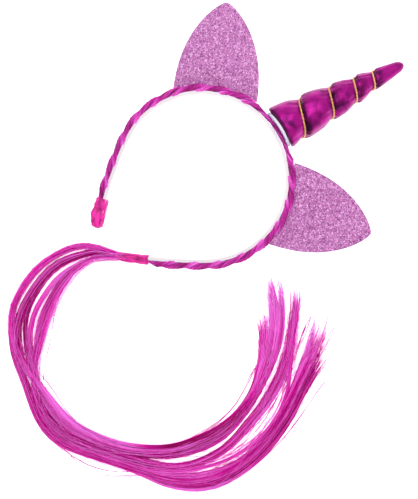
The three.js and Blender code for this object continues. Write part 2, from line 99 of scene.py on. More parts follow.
@dataclass(frozen=True)
class HoopLine:
    """The hoop's own line and how it lies on the table."""

    radius: float = 57.0
    thickness: float = 2.2
    width: float = 8.0
    plain_arm: float = 68.8
    plain_bend: float = 154.0
    plain_crown: float = math.radians(114.6)
    tail_arm: float = 52.0
    tail_bend: float = 335.0
    tail_crown: float = math.radians(121.4)
    tilt: float = math.radians(3.9655)
    centre: tuple[float, float, float] = (-46.939, 14.611, 10.797)
    bow: Course = (
        (-0.8, 0), (-0.6, 1.7), (-0.42, 0.9), (-0.2, -0.6), (0, -0.9), (0.12, -0.8), (0.35, 0.2), (0.6, 0.3),
        (0.9, 0),
    )

    @property
    def plain_end(self) -> float:
        """Where the hoop ends without a tail, along its outer face."""
        return -(self.radius * self.plain_crown + self.plain_arm)

    @property
    def tail_end(self) -> float:
        """Where the hoop ends with the tail, along its outer face."""
        return self.radius * self.tail_crown + self.tail_arm

    def bow_at(self, along: Array | float) -> Array:
        """Returns how far the worn hoop has bowed out of its round."""
        along = np.asarray(along, float)
        return eased(self.bow, np.where(along < 0, -along / self.plain_end, along / self.tail_end))

    def beside(self, along: Array, out: Array | float, up: Array | float) -> Array:
        """Places points beside the hoop.

        Args:
            along: distance from the crown's middle, negative to the plain end.
            out: distance out from the hoop's outer face.
            up: height above the middle of the hoop's width.

        Returns:
            Points in the hoop's own frame, in millimetres.
        """
        along = np.asarray(along, float)
        side = np.where(along < 0, -1.0, 1.0)
        crown = np.where(along < 0, self.plain_crown, self.tail_crown)
        arm = np.where(along < 0, self.plain_bend, self.tail_bend)
        start = np.minimum(np.abs(along) / self.radius, crown)
        beyond = np.abs(along) - start * self.radius
        bend = np.where(beyond > 1e-9, arm, self.radius)
        reach = start + beyond / bend
        shift = bend - self.radius
        around = bend + self.bow_at(along) + out
        x = np.sin(reach) * around - np.sin(start) * shift
        y = np.cos(reach) * around - np.cos(start) * shift
        return np.stack(np.broadcast_arrays(side * x, y, np.asarray(up, float)), -1)

    def on_table(self, points: Array) -> Array:
        """Turns points of the hoop's own frame into metres of the part's frame."""
        x, y, z = points[..., 0], points[..., 1], points[..., 2]
        cos, sin = math.cos(self.tilt), math.sin(self.tilt)
        laid = np.stack((x, y * cos - z * sin, y * sin + z * cos), -1)
        return (laid + np.array(self.centre)) * MM

    def table_below(self, y: Array) -> Array:
        """Returns the table's height under a point, in the hoop's own frame."""
        return -self.centre[2] / math.cos(self.tilt) - np.asarray(y) * math.tan(self.tilt)


LINE = HoopLine()
CLEARANCE = 0.3  # between pieces that are glued together
TWIST_BACK = CLEARANCE
TWIST_DEPTH = 4.2
TWIST_RISE = 5.6
TWIST_OFFSET = 1.2
PRESSED_BY_HORN = 0.65  # of the twist's depth
PRESSED_BY_PLAIN_WRAP = 0.85
PRESSED_BY_TAIL_WRAP = 0.4
HORN_BASE_RADIUS = 14.9
HORN_TIP_RADIUS = 3.0
HORN_LENGTH = 93.0
WRAP_WALL = 0.9
PLAIN_WRAP = (LINE.plain_end - 1.2, LINE.plain_end + 20.3)
TAIL_WRAP = (LINE.tail_end - 13.2, LINE.tail_end + 8.8)


# Mesh tools


def put_in_scene(name: str, data: bpy.types.ID) -> bpy.types.Object:
    """Returns a new object of that name and data, linked to the scene."""
    made = bpy.data.objects.new(name, data)
    bpy.context.scene.collection.objects.link(made)
    return made


def to_object(name: str, bm: bmesh.types.BMesh) -> bpy.types.Object:
    """Turns a bmesh into a smooth shaded object.

    Args:
        name: the piece's name.
        bm: its shape, which is freed.

    Returns:
        The new object, at the origin.
    """
    mesh = bpy.data.meshes.new(name)
    bm.to_mesh(mesh)
    bm.free()
    mesh.polygons.foreach_set("use_smooth", [True] * len(mesh.polygons))
    return put_in_scene(name, mesh)


def rolled(name: str, rows: int, around: int, place: Place, **tones: Place) -> bpy.types.Object:
    """Rolls a grid into a closed tube and shapes it.

    Args:
        name: the piece's name.
        rows: steps along the tube.
        around: steps round it.
        place: gives metres from the shares along and round the tube.
        tones: functions of the same shares, kept as attributes of these names.

    Returns:
        The tube, with its seam merged and its open ends filled.
    """
    bm = bmesh.new()
    layers = {tone: bm.verts.layers.float.new(tone) for tone in tones}
    bmesh.ops.create_grid(bm, x_segments=rows, y_segments=around, size=1.0)
    corners = list(bm.verts)
    flat = np.array([v.co[:2] for v in corners])
    along, turn = (flat[:, 0] + 1) / 2, (flat[:, 1] + 1) / 2
    turn = np.where(turn > 1 - 1e-6, 0.0, turn)
    for corner, spot in zip(corners, place(along, turn)):
        corner.co = spot
    for tone, values in tones.items():
        for corner, value in zip(corners, values(along, turn)):
            corner[layers[tone]] = float(value)
    bmesh.ops.remove_doubles(bm, verts=bm.verts, dist=TOUCHING)
    bmesh.ops.holes_fill(bm, edges=[e for e in bm.edges if e.is_boundary], sides=0)
    bmesh.ops.recalc_face_normals(bm, faces=bm.faces)
    return to_object(name, bm)


def strung(name: str, paths: Array, radii: Array, shades: Array, sides: int = 3) -> bpy.types.Object:
    """Makes many thin round fibres as one piece.

    Args:
        name: the piece's name.
        paths: fibres by steps by metres of x, y and z.
        radii: each fibre's radius at each step, in millimetres.
        shades: each fibre's tone at each step, kept as the attribute "shade".
        sides: corners of a fibre's section.

    Returns:
        One mesh of closed fibres that thin to a point at each end.
    """
    ring = bpy.data.curves.new(f"{name}_section", "CURVE")
    section = ring.splines.new("POLY")
    section.points.add(sides - 1)
    for index, point in enumerate(section.points):
        angle = FULL_TURN * index / sides
        point.co = (MM * math.cos(angle), MM * math.sin(angle), 0, 1)
    section.use_cyclic_u = True
    profile = put_in_scene(ring.name, ring)
    bundle = bpy.data.curves.new(name, "CURVE")
    bundle.dimensions = "3D"
    bundle.bevel_mode = "OBJECT"
    bundle.bevel_object = profile
    steps = paths.shape[1]
    radii = radii.copy()
    radii[:, (0, -1)] = 0
    for path, radius in zip(paths, radii):
        spline = bundle.splines.new("POLY")
        spline.points.add(steps - 1)
        spline.points.foreach_set("co", np.c_[path, np.ones(steps)].ravel())
        spline.points.foreach_set("radius", radius)
    drawn = put_in_scene(f"{name}_lines", bundle)
    graph = bpy.context.evaluated_depsgraph_get()
    mesh = bpy.data.meshes.new_from_object(drawn.evaluated_get(graph))
    bpy.data.objects.remove(drawn)
    bpy.data.objects.remove(profile)
    bpy.data.curves.remove(bundle)
    bpy.data.curves.remove(ring)
    mesh.attributes.new("shade", "FLOAT", "POINT")
    mesh.attributes["shade"].data.foreach_set("value", np.repeat(shades.ravel(), sides))
    bm = bmesh.new()
    bm.from_mesh(mesh)
    bpy.data.meshes.remove(mesh)
    bmesh.ops.remove_doubles(bm, verts=bm.verts, dist=TOUCHING)
    bmesh.ops.recalc_face_normals(bm, faces=bm.faces)
    return to_object(name, bm)


# Finishes


def linear(hex_colour: str) -> tuple[float, float, float, float]:
    """Turns an sRGB hex colour such as #C722A6 into linear red, green, blue and alpha."""
    levels = (int(hex_colour[i : i + 2], 16) / 255 for i in (1, 3, 5))
    red, green, blue = (c / 12.92 if c <= 0.04045 else ((c + 0.055) / 1.055) ** 2.4 for c in levels)
    return red, green, blue, 1.0


class Blend(Enum):
    """Numbers of the Mix node's sockets when it mixes colours."""

    FACTOR = 0
    FIRST = 6
    SECOND = 7
    RESULT = 2


@dataclass(frozen=True)
class Nodes:
    """The nodes of one material or world, with short ways to add to them."""

    tree: bpy.types.NodeTree

    def add(self, kind: str, inputs: dict[Any, Any], **settings: Any) -> bpy.types.Node:
        """Adds a node.

        Args:
            kind: Blender's name for the kind, without the ShaderNode that starts it.
            inputs: for each socket, a value or the output socket that feeds it.
            settings: the node's own settings.

        Returns:
            The new node.
        """
        node = self.tree.nodes.new(f"ShaderNode{kind}")
        for key, value in settings.items():
            setattr(node, key, value)
        for key, value in inputs.items():
            if isinstance(value, bpy.types.NodeSocket):
                self.tree.links.new(value, node.inputs[key])
            else:
                node.inputs[key].default_value = value
        return node

    def tone(self, name: str) -> Any:
        """Returns the output that reads an attribute of the mesh."""
        return self.add("Attribute", {}, attribute_name=name).outputs["Fac"]

    def texture(self, kind: str, millimetres: float, **inputs: float) -> bpy.types.Node:
        """Adds a texture on the Object coordinates that repeats once in some millimetres."""
        place = self.add("TexCoord", {}).outputs["Object"]
        return self.add(f"Tex{kind}", {"Vector": place, "Scale": 1 / (millimetres * MM), **inputs})

    def math(self, how: str, *values: Any) -> Any:
        """Returns the output of a Math node."""
        return self.add("Math", dict(enumerate(values)), operation=how).outputs[0]

    def spread(self, value: Any, low: float, high: float) -> Any:
        """Returns the output that is 0 below low and 1 above high."""
        return self.add("MapRange", {0: value, 1: low, 2: high}).outputs[0]

    def mix(self, factor: Any, first: Any, second: Any) -> Any:
        """Returns the mix of two colours, each a hex colour or an output socket."""
        first, second = (linear(c) if isinstance(c, str) else c for c in (first, second))
        inputs = {Blend.FACTOR.value: factor, Blend.FIRST.value: first, Blend.SECOND.value: second}
        return self.add("Mix", inputs, data_type="RGBA").outputs[Blend.RESULT.value]

    def colour(self, shader: bpy.types.Node, colour: Any) -> None:
        """Feeds the shader's colour."""
        self.tree.links.new(colour, shader.inputs["Base Color"])

    def relief(self, shader: bpy.types.Node, height: Any, strength: float, millimetres: float) -> None:
        """Raises the surface by a height of at most some millimetres."""
        inputs = {"Strength": strength, "Distance": millimetres * MM, "Height": height}
        self.tree.links.new(self.add("Bump", inputs).outputs[0], shader.inputs["Normal"])


@dataclass(frozen=True)
class Finish:
    """A surface as it is made; each kind adds its own pattern."""

    name: str
    roughness: float
    metallic: float = 0.0
    ior: float = 1.5

    def material(self) -> bpy.types.Material:
        """Returns the finish's material, built the first time it is asked for."""
        found = bpy.data.materials.get(self.name)
        if found:
            return found
        made = bpy.data.materials.new(self.name)
        made.use_nodes = True
        made.node_tree.nodes.clear()
        nodes = Nodes(made.node_tree)
        numbers = {"Roughness": self.roughness, "Metallic": self.metallic, "IOR": self.ior}
        shader = nodes.add("BsdfPrincipled", numbers)
        nodes.add("OutputMaterial", {"Surface": shader.outputs[0]})
        self.pattern(nodes, shader)
        return made

    def pattern(self, nodes: Nodes, shader: bpy.types.Node) -> None:
        """Adds the colours and the relief of this kind of surface."""


@dataclass(frozen=True)
class ModacrylicHair(Finish):
    """Spun modacrylic fibre: smooth and bright."""

    dark: str = "#A60066"
    middle: str = "#F018BE"
    bright: str = "#FF86F2"
    patch: float = 14.0  # millimetres over which a lock's dye varies
    drift: float = 0.3  # how much it varies

    def pattern(self, nodes: Nodes, shader: bpy.types.Node) -> None:
        """Colours each fibre by its shade attribute, which holds its tone and painted light and shade, and by
        a slow drift of the dye.
        """
        cloud = nodes.texture("Noise", self.patch, Detail=2.0).outputs["Fac"]
        drifted = nodes.math("MULTIPLY_ADD", cloud, self.drift, nodes.tone("shade"))
        tone = nodes.math("SUBTRACT", drifted, self.drift / 2)
        body = nodes.mix(nodes.spread(tone, 0.0, 0.5), self.dark, self.middle)
        nodes.colour(shader, nodes.mix(nodes.spread(tone, 0.5, 1.0), body, self.bright))


@dataclass(frozen=True)
class SatinRibbon(Finish):
    """Woven satin ribbon, crumpled: fine ribs across it, and painted shade in its folds."""

    face: str = "#D80E92"
    # fold is painted shade in the ribbon's creases and between its laps.
    fold: str = "#98045E"
    light: str = "#EC3CAA"
    crumple: float = 2.2  # millimetres
    rib: float = 0.7  # millimetres; the real weave of 0.2 is too fine to show

    def pattern(self, nodes: Nodes, shader: bpy.types.Node) -> None:
        """Lays painted shade in the folds and ribs the weave."""
        crumple = nodes.texture("Noise", self.crumple, Detail=3.0)
        light = nodes.mix(crumple.outputs["Fac"], self.face, self.light)
        nodes.colour(shader, nodes.mix(nodes.tone("fold"), light, self.fold))
        weave = nodes.texture("Wave", self.rib * FULL_TURN, Distortion=1.5)
        relief = nodes.mix(0.7, weave.outputs["Color"], crumple.outputs["Color"])
        nodes.relief(shader, relief, 0.5, 0.3)


@dataclass(frozen=True)
class LameFabric(Finish):
    """Foil printed stretch knit: a metallic purple, with painted shade in its creases by the cord and at its
    hem.
    """

    face: str = "#A81684"
    # deep is painted shade, laid in the creases by the cord and at the hem.
    deep: str = "#2E0226"
    side: str = "#58064C"
    cloud: float = 7.0  # millimetres
    knit: float = 0.8  # millimetres; the real stitch of 0.4 is too fine to show

    def pattern(self, nodes: Nodes, shader: bpy.types.Node) -> None:
        """Lays painted shade in the creases by the cord and at the hem, and clouds the foil."""
        cloud = nodes.texture("Noise", self.cloud, Detail=3.0).outputs["Fac"]
        foil = nodes.mix(nodes.spread(cloud, 0.45, 0.72), self.face, self.side)
        nodes.colour(shader, nodes.mix(nodes.tone("crease"), foil, self.deep))
        nodes.relief(shader, nodes.texture("Voronoi", self.knit).outputs["Distance"], 0.25, 0.12)


@dataclass(frozen=True)
class MetallicThread(Finish):
    """Gold coloured film wound round a cotton core."""

    light: str = "#FFCC84"
    dark: str = "#A2541A"
    glint: float = 0.6  # millimetres; the size of the painted glints

    def pattern(self, nodes: Nodes, shader: bpy.types.Node) -> None:
        """Varies the film's tone from thread to thread and lays painted glints over it with a fine noise."""
        # The glint noise lays painted glints over the film's tone.
        glint = nodes.texture("Noise", self.glint).outputs["Fac"]
        tone = nodes.math("MULTIPLY_ADD", glint, 0.6, nodes.tone("shade"))
        nodes.colour(shader, nodes.mix(tone, self.dark, self.light))


@dataclass(frozen=True)
class GlitterSheet(Finish):
    """Foam sheet flocked with glitter in a clear glue, its specks painted as glints and as shade."""

    base: str = "#B262A6"
    # pale is painted glint and dark is painted shade, on the specks.
    pale: str = "#E0A6D8"
    dark: str = "#7C2C76"
    speck: float = 0.9  # millimetres; as large as shows in the render

    def pattern(self, nodes: Nodes, shader: bpy.types.Node) -> None:
        """Scatters pale specks of painted glint and dark specks of painted shade, each at a height of its
        own.
        """
        speck = nodes.texture("Voronoi", self.speck).outputs["Color"]
        lit, dim, height = nodes.add("SeparateColor", {0: speck}).outputs
        colour = nodes.mix(nodes.spread(lit, 0.55, 1.0), self.base, self.pale)
        nodes.colour(shader, nodes.mix(nodes.spread(dim, 0.6, 1.0), colour, self.dark))
        nodes.relief(shader, height, 0.8, 0.25)


@dataclass(frozen=True)
class GlitterFlake(Finish):
    """Cut flakes of metallised film."""

    # pale is painted glint and dark is painted shade, on the flakes.
    pale: str = "#E2A6D8"
    dark: str = "#6E1C68"

    def pattern(self, nodes: Nodes, shader: bpy.types.Node) -> None:
        """Gives each flake one tone between dark and pale: painted shade on the dark flakes and painted
        glints on the pale.
        """
        nodes.colour(shader, nodes.mix(nodes.tone("shade"), self.dark, self.pale))


@dataclass(frozen=True)
class WoolFelt(Finish):
    """Pressed felt: matt, with a soft uneven nap."""

    face: str = "#F1EEFA"
    # hollow is painted shade, where the nap sinks.
    hollow: str = "#C9C2DC"
    nap: float = 0.9  # millimetres

    def pattern(self, nodes: Nodes, shader: bpy.types.Node) -> None:
        """Raises the nap and paints it darker where it sinks, as painted shade."""
        nap = nodes.texture("Noise", self.nap, Detail=4.0).outputs["Fac"]
        nodes.colour(shader, nodes.mix(nap, self.hollow, self.face))
        nodes.relief(shader, nap, 0.8, 0.3)


@dataclass(frozen=True)
class MouldedPlastic(Finish):
    """Injection moulded polystyrene, pale, with faint flow marks."""

    face: str = "#DDD6DA"
    tint: str = "#CDC2CA"
    flow: float = 18.0  # millimetres
    peel: float = 1.2  # millimetres

    def pattern(self, nodes: Nodes, shader: bpy.types.Node) -> None:
        """Clouds the plastic and gives it a faint orange peel."""
        flow = nodes.texture("Noise", self.flow, Detail=2.0).outputs["Fac"]
        nodes.colour(shader, nodes.mix(flow, self.face, self.tint))
        nodes.relief(shader, nodes.texture("Noise", self.peel).outputs["Fac"], 0.1, 0.05)


@dataclass(frozen=True)
class StudioPaper(Finish):
    """Matt white backdrop paper."""

    face: str = "#FEFEFE"
    tooth: str = "#FBFBFB"
    grain: float = 3.0  # millimetres
    glow: float = 0.8

    def pattern(self, nodes: Nodes, shader: bpy.types.Node) -> None:
        """Gives the paper a faint tooth and the even light of a light table."""
        grain = nodes.texture("Noise", self.grain).outputs["Fac"]
        nodes.colour(shader, nodes.mix(grain, self.tooth, self.face))
        shader.inputs["Emission Color"].default_value = linear(self.face)
        shader.inputs["Emission Strength"].default_value = self.glow


HAIR = ModacrylicHair("modacrylic_hair", 0.36, ior=1.16)
TWISTED_HAIR = ModacrylicHair(
    "twisted_modacrylic_hair", 0.36, ior=1.3, dark="#860A62", middle="#E234BE", bright="#FA86F0"
)
RIBBON = SatinRibbon("satin_ribbon", 0.42, ior=1.3)
LAME = LameFabric("lame_knit", 0.34, metallic=0.5, ior=1.2)
GOLD = MetallicThread("gold_thread", 0.32, metallic=0.6)
SHEET = GlitterSheet("glitter_sheet", 0.5, metallic=0.15)
FLAKE = GlitterFlake("glitter_flake", 0.35, metallic=0.25)
FELT = WoolFelt("wool_felt", 0.95)
PLASTIC = MouldedPlastic("moulded_plastic", 0.35)
PAPER = StudioPaper("studio_paper", 0.9)


def hand_over(piece: bpy.types.Object, finish: Finish, slot: str, *nodes: str) -> None:
    """Dresses a piece and gives it to the frame.

    Args:
        piece: the finished mesh object.
        finish: its surface.
        slot: a material slot's name, not used.
        nodes: the CAD nodes that it stands for.
    """
    piece.data.materials.clear()
    piece.data.materials.append(finish.material())
    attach(piece, "root")
    if nodes:
        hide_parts(*nodes)
    LOG.info("%s: %d corners", piece.name, len(piece.data.vertices))


# The headband's own pieces


@dataclass
class HairTwist:
    """Two strands of hair that wind round each other on the hoop's outer face."""

    pitch: float = 31.4
    start: float = 1.6
    wide: float = 0.84
    gap: float = -0.08  # between the strands, of half the twist's depth
    rings: tuple[tuple[float, int], ...] = ((1.0, 56), (0.86, 30))
    fibre: float = 0.17
    loft: float = 1.4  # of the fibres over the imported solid
    hug: float = 0.7  # how far the free twist is drawn in to the hoop
    freed: tuple[float, float] = (0.86, 0.99)  # shares of the depth between which it comes free
    lobe: float = 0.13  # how far a strand bulges where it stands out
    tone: tuple[float, float] = (0.45, 0.26)  # middle and spread of the fibres' shades
    lit: float = 0.38  # painted light: how much brighter one side of a turn is painted, and darker the other
    lit_at: float = 0.9  # radians round the turn, where the painted light is brightest
    steps: int = 130
    lay: float = 0.011  # turns of a fibre round its strand, for each millimetre
    core: float = 0.93
    # The core's tone is painted shade: the dark inside of the strand between its fibres.
    core_painted_shade: float = 0.22
    first: float = LINE.plain_end + CLEARANCE
    last: float = LINE.tail_end - CLEARANCE

    def pressed(self, along: Array) -> Array:
        """Returns the share of the depth that the horn and the wraps leave."""
        edge, ease = HORN_BASE_RADIUS + 1, 6
        under_horn = 1 - smoothstep(np.abs(along), edge, edge + ease)
        plain = smoothstep(-along, -PLAIN_WRAP[1] - ease, -PLAIN_WRAP[1] - 1)
        tail = smoothstep(along, TAIL_WRAP[0] - ease, TAIL_WRAP[0] - 1)
        share = 1 - (1 - PRESSED_BY_HORN) * under_horn
        share = share + (PRESSED_BY_PLAIN_WRAP - share) * plain
        return share + (PRESSED_BY_TAIL_WRAP - share) * tail

    def turned(self, along: Array, turn_share: float) -> Array:
        """Returns how far a strand has wound, in radians."""
        return FULL_TURN * (turn_share - (along - self.start) / self.pitch)

    def spot(self, along: Array, across: Array, deep: Array, turn_share: float) -> Array:
        """Places points of one strand's section, whose half widths are 1."""
        squeeze = self.pressed(along)
        turn = self.turned(along, turn_share)
        depth = (1 + self.gap) / 2 + (1 - self.gap) / 2 * deep
        width = self.wide * across
        free = smoothstep(squeeze, *self.freed)
        loft = 1 + (self.loft - 1) * free
        out = (depth * np.cos(turn) + width * np.sin(turn)) * TWIST_DEPTH / 2 * loft
        up = (width * np.cos(turn) - depth * np.sin(turn)) * TWIST_RISE / 2 * loft
        swell = 1 + self.lobe * free * np.cos(2 * turn)
        centre = TWIST_BACK + TWIST_DEPTH * squeeze / 2 - self.hug * free
        return LINE.on_table(LINE.beside(along, centre - out * squeeze * swell, TWIST_OFFSET + up * swell))

    def fibres(self, turn_share: float, rng: np.random.Generator) -> Fibres:
        """Lays a strand's fibres in rings, with painted light on one side of each turn and painted shade on
        the other side and on the inner ring.
        """
        along = np.linspace(self.first, self.last, self.steps)
        # Painted light: one side of each turn is painted brighter and the other darker, and the inner ring
        # darker as shade between the fibres.
        lit = self.lit * np.cos(self.turned(along, turn_share) - self.lit_at)
        paths, shades, radii = [], [], []
        for ring, count in self.rings:
            for index in range(count):
                angle = FULL_TURN * (index + rng.uniform(-0.4, 0.4)) / count + along * self.lay * FULL_TURN
                wander = 0.04 * np.sin(along / rng.uniform(7, 16) + rng.uniform(0, 6))
                at = ring - 0.04 + wander * (ring < 0.9)
                paths.append(self.spot(along, at * np.sin(angle), at * np.cos(angle), turn_share))
                tone = rng.normal(*self.tone) + 0.1 * np.sin(along / rng.uniform(9, 25) + rng.uniform(0, 6))
                shades.append(np.clip(tone + lit - 0.5 * (1 - ring), 0, 1))
                radii.append(np.full(self.steps, self.fibre * rng.uniform(0.7, 1.1)))
        return np.array(paths), np.array(radii), np.array(shades)

    def build(self) -> None:
        """Makes both strands, each as bright fibres over a core painted dark as the shade inside the strand.
        """
        for letter, turn_share in (("a", 0.0), ("b", 0.5)):
            rng = np.random.default_rng(SEED + int(2 * turn_share))
            node = f"hair_strand_{letter}"
            hand_over(strung(f"twist_{letter}", *self.fibres(turn_share, rng)), TWISTED_HAIR, "hair", node)
            core = rolled(
                f"twist_core_{letter}",
                self.steps,
                10,
                lambda share, turn, side=turn_share: self.spot(
                    self.first + 0.5 + (self.last - self.first - 1) * share,
                    self.core * np.sin(FULL_TURN * turn),
                    self.core * np.cos(FULL_TURN * turn),
                    side,
                ),
                shade=lambda share, turn: np.full(share.shape, self.core_painted_shade),
            )
            hand_over(core, TWISTED_HAIR, "hair", node)


def flowing(course: Course, share: Array | float) -> Array:
    """Reads a smooth curve through a few knots.

    Args:
        course: pairs of a share and a value, in growing shares.
        share: where to read it.

    Returns:
        The value at each share, carried on straight past both ends.
    """
    at, value = np.array(course, float).T
    slope = np.gradient(value, at)
    share = np.asarray(share, float)
    inside = np.clip(share, at[0], at[-1])
    k = np.clip(np.searchsorted(at, inside, side="right") - 1, 0, len(at) - 2)
    span = at[k + 1] - at[k]
    t = (inside - at[k]) / span
    rise = value[k + 1] - value[k]
    bend_in = slope[k] * span - rise
    bend_out = rise - slope[k + 1] * span
    curve = value[k] + t * rise + t * (1 - t) * ((1 - t) * bend_in + t * bend_out)
    return curve + (share - inside) * np.where(share > inside, slope[-1], slope[0])


@dataclass(frozen=True)
class Lock:
    """One lock of the tail.

    Its course gives, at shares of the tail's length, how many millimetres it lies
    to the inner side of the tail's line. Its tone is painted light and shade, darker below 0 and lighter
    above.
    """

    name: str
    girth: float
    lift: float
    course: Course
    # Painted light and shade along the lock: darker below 0, lighter above.
    tone: Course

    @property
    def reach(self) -> float:
        """The share of the tail's length where the lock ends."""
        return self.course[-1][0]


TAIL_LOCKS = (
    Lock(
        "over_inner_edge", 1.15, 1.5,
        ((0, -1.2), (0.03, -2.4), (0.06, -3.3), (0.1, -4), (0.15, -7.6), (0.2, -10.6), (0.235, -8.8),
         (0.265, -4.8), (0.3, 0), (0.335, 5), (0.37, 8), (0.4, 8.6), (0.45, 8), (0.5, 8), (0.55, 10.6),
         (0.6, 14.6), (0.65, 17.6), (0.7, 17.6), (0.75, 16.5), (0.8, 15.9), (0.85, 16.9), (0.9, 17.2),
         (0.96, 16.6)),
        ((0, 0), (0.2, 0), (0.3, 0.22), (0.45, 0.22), (0.6, -0.1), (0.7, -0.2), (0.85, 0), (1, 0.1)),
    ),
    Lock(
        "inner_broad", 1.3, 0.5,
        ((0, -0.2), (0.03, 0.6), (0.06, 2.4), (0.1, 1.9), (0.15, -1), (0.2, -4.4), (0.24, -5), (0.28, -2),
         (0.32, 2.6), (0.36, 5), (0.4, 6), (0.45, 5.6), (0.5, 5.4), (0.55, 7.8), (0.6, 11.2), (0.65, 14),
         (0.7, 14), (0.75, 13.6), (0.8, 14), (0.85, 12.9), (0.9, 11.6), (0.95, 9.6), (1, 7.2), (1.02, 6)),
        ((0, -0.1), (0.15, -0.3), (0.22, -0.3), (0.3, 0), (0.45, 0), (0.6, -0.35), (0.72, -0.35),
         (0.9, 0.05)),
    ),
    Lock(
        "inner_lower", 0.85, 0,
        ((0, 0.5), (0.03, 1.6), (0.06, 3.8), (0.1, 3.6), (0.15, 1.3), (0.2, -1), (0.25, 0.6), (0.3, 2.4),
         (0.35, 2.4), (0.4, 3.4), (0.45, 3.4), (0.5, 3.8), (0.55, 5.4), (0.6, 8.2), (0.65, 10.2),
         (0.7, 10.8), (0.75, 12), (0.8, 13), (0.85, 11.2), (0.9, 8), (0.95, 4.6), (0.99, 1.2)),
        ((0, 0), (0.14, -0.25), (0.22, -0.3), (0.32, 0.05), (0.5, -0.15), (0.9, 0.1)),
    ),
    Lock(
        "middle", 1.05, 0.4,
        ((0, 0.9), (0.03, 3.2), (0.06, 7.3), (0.1, 8.8), (0.15, 7.2), (0.2, 4), (0.25, 3.4), (0.3, 3.6),
         (0.35, 0), (0.4, -1), (0.45, 0), (0.5, 1.5), (0.55, 1.6), (0.6, 1), (0.65, 2.8), (0.7, 4.6),
         (0.75, 6.7), (0.8, 5.8), (0.85, 3.6), (0.88, 1.6), (0.905, -0.2), (0.95, -4), (0.98, -7.8)),
        ((0, 0), (0.1, 0.12), (0.2, 0), (0.38, -0.25), (0.45, -0.2), (0.6, 0), (0.75, -0.15), (0.9, 0)),
    ),
    Lock(
        "middle_lower", 0.85, 0,
        ((0, 1.2), (0.03, 3.8), (0.06, 8.6), (0.1, 11.2), (0.15, 11.3), (0.2, 9), (0.25, 7.4), (0.3, 3.6),
         (0.35, -2.2), (0.4, -3.6), (0.45, -2), (0.5, -1), (0.55, -1.2), (0.6, -1), (0.65, 0.8),
         (0.7, 2.6), (0.75, 4), (0.8, 2.6), (0.85, 0.6), (0.88, -1), (0.92, -3)),
        ((0, 0), (0.12, -0.25), (0.2, -0.05), (0.45, -0.2), (0.7, -0.05), (0.9, 0.1)),
    ),
    Lock(
        "crossing", 0.5, 0.9,
        ((0, 1.6), (0.03, 4.6), (0.06, 9.8), (0.1, 14), (0.15, 14.7), (0.2, 13.6), (0.25, 10.6),
         (0.29, 5.4), (0.34, -1), (0.38, -4), (0.42, -5), (0.47, -4), (0.52, -3.6), (0.56, -3.2),
         (0.61, -2.4), (0.66, -2.4), (0.7, -4), (0.75, -6), (0.8, -6.2), (0.83, -5), (0.86, -3),
         (0.9, -1.2), (0.95, -4.4), (0.975, -7.4)),
        ((0, 0.05), (0.3, -0.05), (0.6, 0.1), (0.8, 0), (1, 0.1)),
    ),
    Lock(
        "outer_upper", 0.8, 0.5,
        ((0, 1), (0.03, 4.2), (0.06, 9), (0.1, 12.8), (0.15, 13.2), (0.2, 12), (0.25, 9.2), (0.3, 2.5),
         (0.35, -3.4), (0.4, -3.8), (0.45, -3.6), (0.5, -3.2), (0.55, -3.6), (0.6, -5), (0.66, -7),
         (0.7, -8.8), (0.75, -8), (0.8, -7.6), (0.85, -8.2), (0.875, -9.8), (0.9, -12.6), (0.925, -15.8)),
        ((0, 0), (0.1, 0.05), (0.24, -0.2), (0.4, -0.1), (0.6, 0.15), (0.8, 0), (0.9, 0.1)),
    ),
    Lock(
        "outer_middle", 1, 0.9,
        ((0, 1.3), (0.03, 4), (0.06, 8), (0.1, 13.6), (0.15, 14.6), (0.2, 14), (0.25, 10.8), (0.3, 3.4),
         (0.35, -4.6), (0.4, -6.2), (0.44, -6), (0.5, -5), (0.55, -5.6), (0.6, -8), (0.65, -10.4),
         (0.7, -10.6), (0.75, -9.6), (0.8, -9.6), (0.85, -10.6), (0.875, -13), (0.9, -16.2), (0.912, -18.4)),
        ((0, 0.05), (0.16, 0.15), (0.26, -0.15), (0.42, -0.05), (0.6, 0.1), (0.75, -0.1), (0.9, 0.05)),
    ),
    Lock(
        "outer_broad", 1.15, 0.2,
        ((0, -0.6), (0.03, -1), (0.06, 1.4), (0.1, 0.9), (0.15, -1.8), (0.2, -5.6), (0.25, -7), (0.3, -5),
         (0.35, -5.4), (0.4, -7), (0.45, -6), (0.5, -4.4), (0.55, -5.8), (0.6, -10), (0.65, -13.6),
         (0.7, -13.2), (0.75, -12.4), (0.8, -12.4), (0.85, -14), (0.875, -17.4), (0.89, -20.2)),
        ((0, -0.1), (0.1, -0.1), (0.2, -0.3), (0.3, -0.1), (0.5, 0), (0.62, 0.1), (0.72, -0.35),
         (0.85, -0.3), (0.9, 0)),
    ),
    Lock(
        "outer_edge", 0.95, 0,
        ((0, -1.6), (0.03, -3.4), (0.06, -4.6), (0.1, -4.7), (0.15, -8.6), (0.2, -11), (0.25, -9),
         (0.3, -6), (0.35, -6.6), (0.4, -7.8), (0.45, -6.6), (0.5, -5), (0.55, -7), (0.6, -12.4),
         (0.65, -16.4), (0.7, -16), (0.75, -15.2), (0.8, -14.8), (0.85, -16.8), (0.87, -19.6),
         (0.883, -22.8)),
        ((0, 0), (0.1, 0.05), (0.2, -0.1), (0.3, 0.15), (0.45, 0.1), (0.65, 0.25), (0.75, -0.15),
         (0.88, 0.05)),
    ),
)
